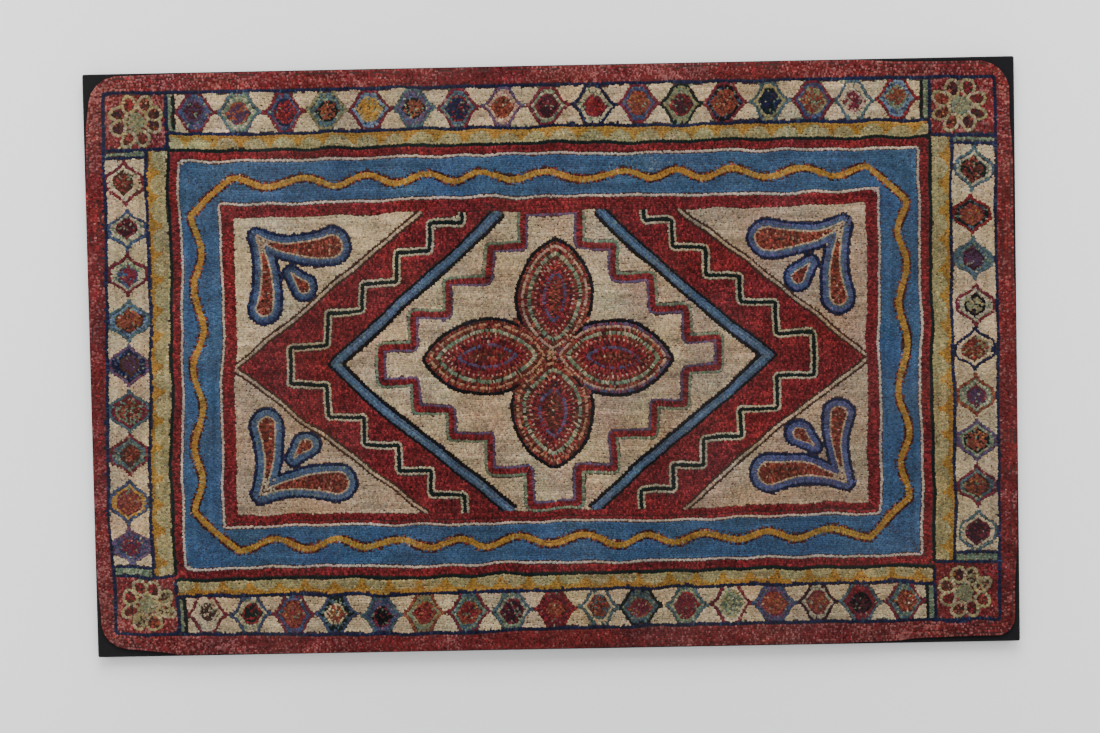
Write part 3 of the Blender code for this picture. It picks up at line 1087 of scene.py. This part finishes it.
def bump_into(tree, shader, height, strength, distance):
    """Lifts the surface by a height socket."""
    bump = node_of(tree, "ShaderNodeBump", (-250, -300))
    bump.inputs["Strength"].default_value = strength
    bump.inputs["Distance"].default_value = distance
    tree.links.new(height, bump.inputs["Height"])
    tree.links.new(bump.outputs["Normal"], shader.inputs["Normal"])


def fibre_node(tree, values):
    """The spun fibre effect, placed in a material with its own values."""
    return node_of(tree, "ShaderNodeGroup", (-480, 0), values, node_tree=fibre_group())


def wool_pile():
    """Hooked wool: each loop's own colour, mottled by its fibre."""
    if "Hooked wool" in bpy.data.materials:
        return bpy.data.materials["Hooked wool"]
    material, tree, shader = new_material("Hooked wool", 0.95, 0.05)
    own = node_of(tree, "ShaderNodeAttribute", (-700, 0), attribute_name="wool")
    fibre = fibre_node(tree, {"Fineness": 850.0, "Mottle": 0.9, "Fading": 0.05})
    joined(tree, (own, "Color", fibre, "Colour"), (fibre, "Colour", shader, "Base Color"))
    bump_into(tree, shader, fibre.outputs["Nap"], 0.5, 0.0006)
    return material


def woven_material(name, finish, fibre_values, weave_values, relief):
    """A cloth that fibre colours and a weave lifts, by (roughness, sheen), (strength, height)."""
    material, tree, shader = new_material(name, *finish)
    fibre = fibre_node(tree, fibre_values)
    weave = node_of(tree, "ShaderNodeGroup", (-480, -250), weave_values, node_tree=weave_group())
    joined(tree, (fibre, "Colour", shader, "Base Color"))
    bump_into(tree, shader, weave.outputs["Threads"], *relief)
    return material


def ground_cloth():
    """Jute ground cloth, its colour painted dark as the shade between the loops, with a little dust.
    """
    return woven_material(
        "Ground cloth", (0.95, 0.1),
        # Painted shade: the cloth's colour is near black so that the gaps between loops read as
        # shade.
        {"Colour": (0.034, 0.015, 0.013, 1.0), "Fineness": 400.0, "Mottle": 0.8, "Fading": 0.08},
        {"Threads": 2600.0, "Slubs": 0.8}, (0.6, 0.0004),
    )


def black_cloth():
    """Black cotton over the panel: a fine weave with a little lint on it."""
    return woven_material(
        "Black cloth", (0.9, 0.06),
        {"Colour": (0.0065, 0.0065, 0.0075, 1.0), "Fineness": 700.0, "Mottle": 1.2, "Fading": 0.02},
        {"Threads": 5200.0, "Slubs": 1.0}, (0.5, 0.0003),
    )


class RUG_OT_hook_outer_band(bpy.types.Operator):
    """Hooks the heathered outer band, row inside row, and the navy line within it"""

    bl_idname = "rug.hook_outer_band"
    bl_label = "Hook outer band"

    def execute(self, context):
        cloth = backing()
        outline = beside(rug_outline(), BAND_INSET, closed=True)
        left, right, bottom, top = NAVY_FRAME
        cloth.hook(rounded(frame_path(NAVY_FRAME), FRAME_ROUNDING, True), "navy", LINE_WIDTH, True)
        off = LINE_WIDTH / 2
        inner = np.clip(outline, (left - off, bottom - off), (right + off, top + off))
        for row in range(BAND_ROWS):
            path = outline + (inner - outline) * row / BAND_ROWS
            lean = RIM_LEAN if row == 0 else 0.0
            cloth.hook(path, cloth.heather, BAND_ROW_WIDTH, True, lean, limit=0.34)
        whole = cloth.path_region(beside(outline, BAND_CLOSED_FROM, closed=True))
        cloth.close_gaps(whole & ~cloth.frame_region(NAVY_FRAME))
        pile_object("outer_band", cloth.lift_off())
        return {"FINISHED"}


def lozenge(cloth, middle, wools, upright, design):
    """One lozenge, row inside row: outline, flecked ring, thin second ring and muddled heart."""
    outline, ring, heart, second = wools
    length = design.lozenge_length / MM * cloth.chance.uniform(0.96, 1.03)
    width = design.lozenge_width / MM * cloth.chance.uniform(0.95, 1.02)
    middle = np.asarray(middle) + cloth.chance.uniform(-1.5, 1.5, 2)
    neck = cloth.chance.uniform(0.52, 0.62)
    rim = int(cloth.chance.integers(3, 5))
    own = int(cloth.chance.integers(1000))
    drift = cloth.chance.uniform(-0.7, 0.7, 2)
    mate = RING_MATES.get(ring, ring)

    def flecked(main, first, share, other="sage", rest=0.05):
        numbers = [WOOL_NUMBER[first], WOOL_NUMBER[other]]

        def rule(x, y, _):
            pick = cloth.chance.random(len(x)) + 0.12 * ripple(x, y, 14.0, own)
            return np.select([pick < share, pick < share + rest], numbers, WOOL_NUMBER[main])

        return rule

    rules = [outline, flecked(ring, outline, 0.16)] + [flecked(ring, mate, 0.30)] * (rim - 2)
    rules += [flecked(second, heart, 0.20)]
    rules += [flecked(heart, second, 0.20)] * (LOZENGE_ROWS - 1 - rim)
    for row, rule in enumerate(rules):
        shorter, narrower = length - LOZENGE_SHORTER * row, width - LOZENGE_NARROWER * row
        path = lozenge_path(middle, shorter, narrower, neck + LOZENGE_FULLER * row, upright)
        cloth.hook(path + drift * max(row - 1, 0), rule, 3.5, closed=True, limit=0.36)
    cloth.close_gaps(cloth.path_region(lozenge_path(middle, length, width, neck, upright)), 3.2)


def scallops(cloth, region, from_line, inward, upright, pitch):
    """An ochre strip: half rounds of straw on its inner side, with ochre round and between them."""

    def wool(x, y, _):
        along = y if upright else x
        deep = ((x if upright else y) - from_line) * inward
        stray = ripple(x, y, 70.0, 51) * 2.0
        turn = (along + stray) / pitch
        out = np.minimum((1 - 2 * np.abs(turn - np.round(turn))) / ARCH_SPAN, 1)
        arch = ARCH_TOP + ARCH_RISE * (1 - np.sqrt(1 - out**2))
        return np.where(deep < arch, WOOL_NUMBER["ochre"], WOOL_NUMBER["straw"])

    cloth.fill(region, wool, 90.0 if upright else 0.0)
    cloth.close_gaps(region)


def hook_borders(sides, strip_ends, span, end_wool, upright):
    """Two facing borders, each with its lines, a strip of lozenges and an ochre strip."""
    cloth = backing()
    design = bpy.context.scene.rug_design
    ends = SQUARE_FRAME[2:] if upright else SQUARE_FRAME[:2]
    lie, across_lie = (90.0, 0.0) if upright else (0.0, 90.0)

    def placed(along, across):
        return (across, along) if upright else (along, across)

    def strip(along, one, other):
        across = tuple(sorted((one, other)))
        return cloth.frame_region((*across, *along) if upright else (*along, *across))

    for side, outward, table in sides:
        line = STRIP_LINES[side]
        edge, dark = NAVY_FRAME[SIDE_PLACE[side]], DARK_FRAME[SIDE_PLACE[side]]
        cloth.hook([placed(end, line) for end in ends], "navy", LINE_WIDTH)
        cloth.hook([placed(end, dark) for end in ends], "bottle", LINE_WIDTH)
        for end in ends:
            cloth.hook([placed(end, edge), placed(end, dark)], "navy", LINE_WIDTH)
        for end in strip_ends:
            cloth.hook([placed(end, edge), placed(end, line)], end_wool, END_LINE_WIDTH)
        middle = (line + edge) / 2
        for along, wools in zip(np.linspace(*span, len(table)), table):
            lozenge(cloth, placed(along, middle), wools, upright, design)
        cloth.fill(strip(strip_ends, line, edge), "cream", lie)
        cloth.fill(strip(ends, line, edge), "sage", across_lie)
        cloth.close_gaps(strip(ends, line, edge))
        pitch = design.scallop_pitch / MM
        scallops(cloth, strip(ends, line, dark), line, -outward, upright, pitch)


class RUG_OT_hook_long_borders(bpy.types.Operator):
    """Hooks the lozenge strips and ochre strips along the rug's two long sides"""

    bl_idname = "rug.hook_long_borders"
    bl_label = "Hook long borders"

    def execute(self, context):
        sides = ("top", 1, TOP_LOZENGES), ("bottom", -1, BOTTOM_LOZENGES)
        hook_borders(sides, TOP_ENDS, TOP_SPAN, "bottle", False)
        pile_object("long_borders", backing().lift_off())
        return {"FINISHED"}


class RUG_OT_hook_short_borders(bpy.types.Operator):
    """Hooks the lozenge strips and ochre strips along the rug's two short sides"""

    bl_idname = "rug.hook_short_borders"
    bl_label = "Hook short borders"

    def execute(self, context):
        sides = ("left", -1, LEFT_LOZENGES), ("right", 1, RIGHT_LOZENGES)
        hook_borders(sides, SIDE_ENDS, SIDE_SPAN, "navy", True)
        pile_object("short_borders", backing().lift_off())
        return {"FINISHED"}


class RUG_OT_hook_corner_squares(bpy.types.Operator):
    """Hooks the four corner squares, each with a rosette on red"""

    bl_idname = "rug.hook_corner_squares"
    bl_label = "Hook corner squares"

    def execute(self, context):
        cloth = backing()
        ring = context.scene.rug_design.petal_ring / MM
        turn = np.linspace(0, 2 * math.pi, 24, endpoint=False)

        petal_edge = cloth.mixture("olive", straw=0.50, tan=0.32)
        disc = cloth.mixture("sage", olive=0.65)
        mains = ("rust", "madder", "plum_dark", "olive")
        hearts = [cloth.mixture("bark", **{main: 0.55, "orange": 0.15}) for main in mains]

        for x, y in ROSETTES:
            for radius in DISC_RADII:
                path = np.stack([x + radius * np.cos(turn), y + radius * np.sin(turn)], 1)
                cloth.hook(path, disc, 3.8, closed=True, limit=0.4)
            for petal in range(ROSETTE_PETALS):
                # Only the two lower rosettes have olive hearts too.
                heart = hearts[int(cloth.chance.integers(3 if y > 0 else 4))]
                angle = math.radians(22.5 + 45 * petal + cloth.chance.uniform(-5, 5))
                reach = ring + cloth.chance.uniform(-1.5, 1.5)
                middle = (x + reach * math.cos(angle), y + reach * math.sin(angle))
                phase = cloth.chance.uniform(0, 6.3, 2)
                uneven = 1 + 0.09 * np.sin(2 * turn + phase[0]) + 0.07 * np.sin(3 * turn + phase[1])
                rows = ((10.2, petal_edge, 4.2), (6.0, heart, 4.0), (2.2, heart, 3.8))
                for radius, wool, width in rows:
                    sides = [radius * PETAL_OVAL * np.cos(turn), radius * np.sin(turn)]
                    oval = np.stack(sides, 1) * uneven[:, None]
                    path = turned(oval, math.degrees(angle), middle)
                    cloth.hook(path, wool, width, True, limit=0.4)
            left, right, low, high = SQUARE_FRAME
            x_sides = (NAVY_FRAME[0], left) if x < 0 else (right, NAVY_FRAME[1])
            y_sides = (NAVY_FRAME[2], low) if y < 0 else (high, NAVY_FRAME[3])
            region = cloth.frame_region((*x_sides, *y_sides))
            cloth.fill(region, cloth.heather, 0.0)
            cloth.close_gaps(region)
        pile_object("corner_squares", cloth.lift_off())
        return {"FINISHED"}


def hook_rings(cloth, outer, inner, wool):
    """Plain rows between two frames, each a frame of its own."""
    gap = float(np.mean(np.abs(np.subtract(outer, inner))))
    rows = max(round(gap / cloth.row), 1)
    for row in range(rows):
        sides = between(outer, inner, (row + 0.5) / rows)
        path = rounded(frame_path(sides), FRAME_ROUNDING, True)
        cloth.hook(path, wool, gap / rows, closed=True)


class RUG_OT_hook_red_bands(bpy.types.Operator):
    """Hooks the dark line, the two red bands and the white lines that edge the blue band"""

    bl_idname = "rug.hook_red_bands"
    bl_label = "Hook red bands"

    def execute(self, context):
        cloth = backing()
        cloth.hook(rounded(frame_path(DARK_FRAME), DARK_ROUNDING, True), "bottle", LINE_WIDTH, True)
        for ring in (OUTER_WHITE, INNER_WHITE):
            path = rounded(frame_path(ring), FRAME_ROUNDING, True)
            cloth.hook(path, "white", WHITE_LINE_WIDTH, closed=True)
        hook_rings(cloth, DARK_FRAME, OUTER_WHITE, "madder")
        hook_rings(cloth, INNER_WHITE, FIELD_FRAME, "madder")
        cloth.close_gaps(cloth.frame_region(DARK_FRAME, OUTER_WHITE))
        cloth.close_gaps(cloth.frame_region(INNER_WHITE, FIELD_FRAME))
        pile_object("red_bands", cloth.lift_off())
        return {"FINISHED"}


class RUG_OT_hook_blue_band(bpy.types.Operator):
    """Hooks the ochre wave with its dark edges, and then the blue band round it"""

    bl_idname = "rug.hook_blue_band"
    bl_label = "Hook blue band"

    def execute(self, context):
        cloth = backing()
        wave = wave_path(context.scene.rug_design.wave_height / MM)
        wave = rounded(wave, WAVE_ROUNDING, True)
        off, width = WAVE_OCHRE
        for side in (-1, 1):
            cloth.hook(beside(wave, off * side, True), "ochre", width, closed=True)

        def worn_edge(x, y, _):
            pick = cloth.chance.random(len(x)) + 0.25 * ripple(x, y, 45.0, 63)
            worn = [WOOL_NUMBER["plum_dark"], WOOL_NUMBER["rust"]]
            return np.select([pick < 0.4, pick < 0.75], worn, WOOL_NUMBER["blue"])

        off, width = WAVE_EDGE
        for side in (-1, 1):
            cloth.hook(beside(wave, off * side, True), worn_edge, width, closed=True, limit=0.4)

        def faded_blue(x, y, _):
            near = soft_spot(x, y, FADED_PLACE, FADED_REACH)
            faded = cloth.chance.random(len(x)) < 0.55 * near
            return np.where(faded, WOOL_NUMBER["faded_blue"], WOOL_NUMBER["blue"])

        hook_rings(cloth, OUTER_WHITE, INNER_WHITE, faded_blue)
        cloth.close_gaps(cloth.frame_region(OUTER_WHITE, INNER_WHITE))
        pile_object("blue_band", cloth.lift_off())
        return {"FINISHED"}


def in_corner(path, side_x, side_y):
    """A path given for the positive corner, set in one of the field's four corners."""
    return np.asarray(path) * (side_x, side_y) + np.asarray(FIELD_MIDDLE)


class RUG_OT_hook_corner_fields(bpy.types.Operator):
    """Hooks the four cream corners of the field, with their lobes, drops and slanting lines"""

    bl_idname = "rug.hook_corner_fields"
    bl_label = "Hook corner fields"

    def execute(self, context):
        cloth = backing()
        left, right, low, high = FIELD_FRAME
        for side_x, side_y, blues in CORNERS:
            for depth, width, wool in LOBE_ROWS:
                shapes = [drop_path(lobe, depth) for lobe in LOBES]
                paths = [in_corner(path, side_x, side_y) for path in shapes if path is not None]
                inside = [cloth.path_region(path) for path in paths]
                wool = blues.get(wool, wool)
                for number, path in enumerate(paths):
                    others = [mask for place, mask in enumerate(inside) if place != number]
                    free = ~others[0] if others else None
                    cloth.hook(path, wool, width, True, limit=0.36, region=free)
            shapes = [drop_path(shape, 0.0) for shape in (*LOBES, DROP)]
            whole = [cloth.path_region(in_corner(path, side_x, side_y)) for path in shapes]
            for depth, width, wool in DROP_ROWS:
                path = drop_path(DROP, depth)
                wool = blues.get(wool, wool)
                if path is not None:
                    cloth.hook(in_corner(path, side_x, side_y), wool, width, True, limit=0.36)
            end_x = left if side_x < 0 else right
            end_y = high if side_y > 0 else low
            slant = np.array([(end_x, FIELD_MIDDLE[1] + 2.0 * side_y), (SLANT_END * side_x, end_y)])
            turn = side_x * side_y
            for off, width, wool in SLANT_ROWS:
                cloth.hook(beside(slant, off * turn), wool, width, limit=0.4)
            corner = np.array([slant[0], slant[1], (end_x, end_y)])
            region = cloth.path_region(corner)
            cloth.close_gaps(whole[0] | whole[1] | whole[2], 3.4)
            cloth.fill(region, "cream" if side_x < 0 < side_y else "fawn", 0.0)
            cloth.close_gaps(region)
        pile_object("corner_fields", cloth.lift_off())
        return {"FINISHED"}


class RUG_OT_hook_red_field(bpy.types.Operator):
    """Hooks the dark zigzags with their cream edges, and the red field between the diamonds"""

    bl_idname = "rug.hook_red_field"
    bl_label = "Hook red field"

    def execute(self, context):
        cloth = backing()
        left, right, low, high = FIELD_FRAME
        off, width = PALE_EDGE
        for steps in (DARK_STEPS_LEFT, DARK_STEPS_RIGHT):
            path = rounded(steps, STEP_ROUNDING)
            cloth.hook(path, "bottle", DARK_ZIGZAG_WIDTH)
            for side in (-1, 1):
                cloth.hook(beside(path, off * side), "pebble", width, limit=0.4)
        for path, side in ((DIAMOND_LEFT, -1), (DIAMOND_RIGHT, 1)):
            for off, width, wool in DIAMOND_ROWS:
                cloth.hook(beside(path, off * side), wool, width, limit=0.36)
        for side, end in ((-1, left), (1, right)):
            inner = DIAMOND_LEFT if side < 0 else DIAMOND_RIGHT
            slant = RED_FIELD_END * side
            outer = [(slant, low), (end, -2.0), (end, 2.0), (slant, high)]
            region = cloth.path_region(np.array([*inner, *outer]))
            cloth.fill(region, "madder", 0.0)
            cloth.close_gaps(region)
        pile_object("red_field", cloth.lift_off())
        return {"FINISHED"}


class RUG_OT_hook_medallion_ground(bpy.types.Operator):
    """Hooks the red zigzag of the middle diamond and the cream ground on both sides of it"""

    bl_idname = "rug.hook_medallion_ground"
    bl_label = "Hook medallion ground"

    def execute(self, context):
        cloth = backing()
        for steps, side in ((RED_STEPS_LEFT, 1), (RED_STEPS_RIGHT, -1)):
            path = rounded(steps, STEP_ROUNDING)
            for off, width, wool in RED_ZIGZAG_ROWS:
                cloth.hook(beside(path, off * side), wool, width, limit=0.36)
        region = cloth.path_region(np.array([*DIAMOND_LEFT, *DIAMOND_RIGHT[::-1]]))

        # Cream with fawn loops, more of them towards the right.
        def cream_fawn_to_right(x, y, _):
            share = 0.25 + 0.35 * smooth_step(x, -20.0, 160.0) + 0.25 * ripple(x, y, 85.0, 64)
            fawn_loop = cloth.chance.random(len(x)) < share
            return np.where(fawn_loop, WOOL_NUMBER["fawn"], WOOL_NUMBER["cream"])

        cloth.fill(region, cream_fawn_to_right, 0.0)
        cloth.close_gaps(region)
        pile_object("medallion_ground", cloth.lift_off())
        return {"FINISHED"}


class RUG_OT_hook_quatrefoil(bpy.types.Operator):
    """Hooks the four petals, ring inside ring from the black edge to the heart"""

    bl_idname = "rug.hook_quatrefoil"
    bl_label = "Hook quatrefoil"

    def execute(self, context):
        cloth = backing()

        def dotted(x, y, step):
            return np.where(step % 3 == 0, WOOL_NUMBER["shell"], WOOL_NUMBER["madder"])

        def mottled(wool):
            first, second = PETAL_MATES.get(wool, (wool, wool))

            def rule(x, y, _):
                pick = cloth.chance.random(len(x))
                mates = [WOOL_NUMBER[first], WOOL_NUMBER[second]]
                return np.select([pick < 0.18, pick < 0.32], mates, WOOL_NUMBER[wool])

            return rule

        for angle in (45.0, 135.0, 225.0, 315.0):
            for reach, wool, width in ((SPOKE_START, "apricot", 3.4), (SPOKE_LENGTH, "rust", 3.6)):
                spoke = np.array([(0.0, 0.0), (reach, 0.0)])
                cloth.hook(turned(spoke, angle, QUATREFOIL_MIDDLE), wool, width)
        for depth, width, wool in PETAL_ROWS:
            for angle, length, breadth, outer, line in PETALS:
                path, on_arc = petal_path(length, breadth, depth)
                if path is None:
                    continue
                own = {"own outer": outer, "own line": line}.get(wool, wool)
                rule = dotted if wool == "dotted" else mottled(own)
                place = turned(path, angle, QUATREFOIL_MIDDLE)
                if depth < DIAGONAL_DEPTH:
                    cloth.hook(place[on_arc], rule, width, limit=0.4)
                else:
                    cloth.hook(place, rule, width, closed=True, limit=0.4)
        for angle, length, breadth, _, _ in PETALS:
            path, _ = petal_path(length, breadth, 0.0)
            place = turned(path, angle, QUATREFOIL_MIDDLE)
            cloth.close_gaps(cloth.path_region(place), 3.4)
        pile_object("quatrefoil", cloth.lift_off())
        return {"FINISHED"}


class RUG_OT_lay_ground_cloth(bpy.types.Operator):
    """Makes the ground cloth with its turned-under hem, flat on the panel under the pile"""

    bl_idname = "rug.lay_ground_cloth"
    bl_label = "Lay ground cloth"

    def execute(self, context):
        around, _ = resampled(rug_outline(), 9.0, closed=True)
        underside = RUG_BOX[0][2] / MM
        # One column for each place round the rim, and one row for each section from the middle out.
        sections = [(share, 0.0, "top") for share in np.linspace(0.04, 0.96, 24)]
        sections += HEM_SECTIONS
        rows = []
        for share, inset, height in sections:
            reach = np.hypot(around[:, 0], around[:, 1])
            scale = share * (1 - inset / reach)
            x, y = around[:, 0] * scale, around[:, 1] * scale
            if height == "top":
                z = ground_height(x, y) / MM
            else:
                z = np.full(len(x), underside + height)
            rows.append(np.stack([x, y, z], 1))
        count = len(around)
        middle_height = float(ground_height(np.zeros(1), np.zeros(1))[0]) / MM
        poles = [(0.0, 0.0, middle_height), (0.0, 0.0, underside)]
        corners = np.vstack([*rows, poles])
        column = np.arange(count)
        following = (column + 1) % count
        faces = []
        for row in range(len(rows) - 1):
            a, b = row * count, (row + 1) * count
            faces += np.stack([a + column, b + column, b + following, a + following], 1).tolist()
        top_pole, low_pole = len(corners) - 2, len(corners) - 1
        last = (len(rows) - 1) * count
        faces += np.stack([np.full(count, top_pole), column, following], 1).tolist()
        faces += np.stack([np.full(count, low_pole), last + following, last + column], 1).tolist()
        mesh = bpy.data.meshes.new("ground_cloth")
        mesh.from_pydata(corners * MM, [], faces)
        mesh.shade_smooth()
        # Its material paints the cloth dark as the shade between the loops.
        mesh.materials.append(ground_cloth())
        piece = bpy.data.objects.new("ground_cloth", mesh)
        context.scene.collection.objects.link(piece)
        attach(piece, "root")
        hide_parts("rug")
        return {"FINISHED"}


class RUG_OT_dress_mount_panel(bpy.types.Operator):
    """Gives the mount panel its black cotton cloth"""

    bl_idname = "rug.dress_mount_panel"
    bl_label = "Dress mount panel"

    def execute(self, context):
        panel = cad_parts["mount_panel"]
        panel.data.materials.clear()
        panel.data.materials.append(black_cloth())
        return {"FINISHED"}


class RUG_OT_set_stage(bpy.types.Operator):
    """Sets the floor, the soft lights and the camera"""

    bl_idname = "rug.set_stage"
    bl_label = "Set stage"

    def execute(self, context):
        scene = context.scene
        stage = scene.rug_stage
        places = np.linspace(-FLOOR_REACH, FLOOR_REACH, FLOOR_CELLS + 1)
        x, y = np.meshgrid(places, places)
        corners = np.stack([x.ravel(), y.ravel(), np.full(x.size, CAD_BOX[0][2] - 0.0002)], 1)
        cell = np.arange(FLOOR_CELLS**2)
        start = cell + cell // FLOOR_CELLS
        above = start + FLOOR_CELLS + 1
        mesh = bpy.data.meshes.new("studio_floor")
        mesh.from_pydata(corners, [], np.stack([start, start + 1, above + 1, above], 1))
        material = bpy.data.materials.new("Studio floor")
        material.use_nodes = True
        shader = material.node_tree.nodes["Principled BSDF"]
        shader.inputs["Base Color"].default_value = (*stage.floor_colour, 1.0)
        shader.inputs["Roughness"].default_value = 0.9
        mesh.materials.append(material)
        floor = bpy.data.objects.new("studio_floor", mesh)
        scene.collection.objects.link(floor)
        for name, place, size, share in SOFTBOXES:
            lamp = bpy.data.lights.new(name, "AREA")
            lamp.energy = stage.key_power * share
            lamp.size = size
            light = bpy.data.objects.new(name, lamp)
            light.location = place
            x, y, z = place
            tilt, turn = math.atan2(math.hypot(x, y), z), math.pi - math.atan2(-x, y)
            light.rotation_euler = (tilt, 0.0, turn)
            scene.collection.objects.link(light)
        world = bpy.data.worlds.new("studio")
        world.use_nodes = True
        world.node_tree.nodes["Background"].inputs["Color"].default_value = (1.0, 1.0, 1.0, 1.0)
        world.node_tree.nodes["Background"].inputs["Strength"].default_value = stage.fill_light
        scene.world = world
        lens = bpy.data.cameras.new("studio_camera")
        lens.lens = stage.lens
        lens.sensor_width = 36.0
        camera = bpy.data.objects.new("studio_camera", lens)
        camera.location = stage.camera_place
        camera.rotation_euler = stage.camera_turn
        scene.collection.objects.link(camera)
        scene.camera = camera
        return {"FINISHED"}


HOOKING_ORDER = (
    RUG_OT_hook_outer_band,
    RUG_OT_hook_long_borders,
    RUG_OT_hook_short_borders,
    RUG_OT_hook_corner_squares,
    RUG_OT_hook_red_bands,
    RUG_OT_hook_blue_band,
    RUG_OT_hook_corner_fields,
    RUG_OT_hook_quatrefoil,
    RUG_OT_hook_red_field,
    RUG_OT_hook_medallion_ground,
    RUG_OT_lay_ground_cloth,
    RUG_OT_dress_mount_panel,
    RUG_OT_set_stage,
)


class RUG_PT_sidebar(bpy.types.Panel):
    """The sidebar panel with the rug's sizes, colours and steps"""

    bl_idname = "RUG_PT_sidebar"
    bl_label = "Hooked Rug"
    bl_space_type = "VIEW_3D"
    bl_region_type = "UI"
    bl_category = "Hooked Rug"

    def draw(self, context):
        for group_name, kind in GROUPS.items():
            box = self.layout.box()
            for name in kind.__annotations__:
                box.prop(getattr(context.scene, group_name), name)
        for step in HOOKING_ORDER:
            self.layout.operator(step.bl_idname, text=step.bl_label)


GROUPS = {
    "rug_hooking": RugHooking,
    "rug_design": RugDesign,
    "rug_wools": RugWools,
    "rug_stage": RugStage,
}


def register():
    """Adds the settings, the steps and the sidebar panel to Blender."""
    for name, group in GROUPS.items():
        bpy.utils.register_class(group)
        setattr(bpy.types.Scene, name, bpy.props.PointerProperty(type=group))
    for step in HOOKING_ORDER:
        bpy.utils.register_class(step)
    bpy.utils.register_class(RUG_PT_sidebar)


def unregister():
    """Takes them out again."""
    bpy.utils.unregister_class(RUG_PT_sidebar)
    for step in reversed(HOOKING_ORDER):
        bpy.utils.unregister_class(step)
    for name, group in GROUPS.items():
        delattr(bpy.types.Scene, name)
        bpy.utils.unregister_class(group)


def main():
    """Hooks the rug zone by zone and sets the stage."""
    register()
    for step in HOOKING_ORDER:
        family, action = step.bl_idname.split(".")
        getattr(getattr(bpy.ops, family), action)()
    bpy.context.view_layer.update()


if __name__ == "__main__":
    main()
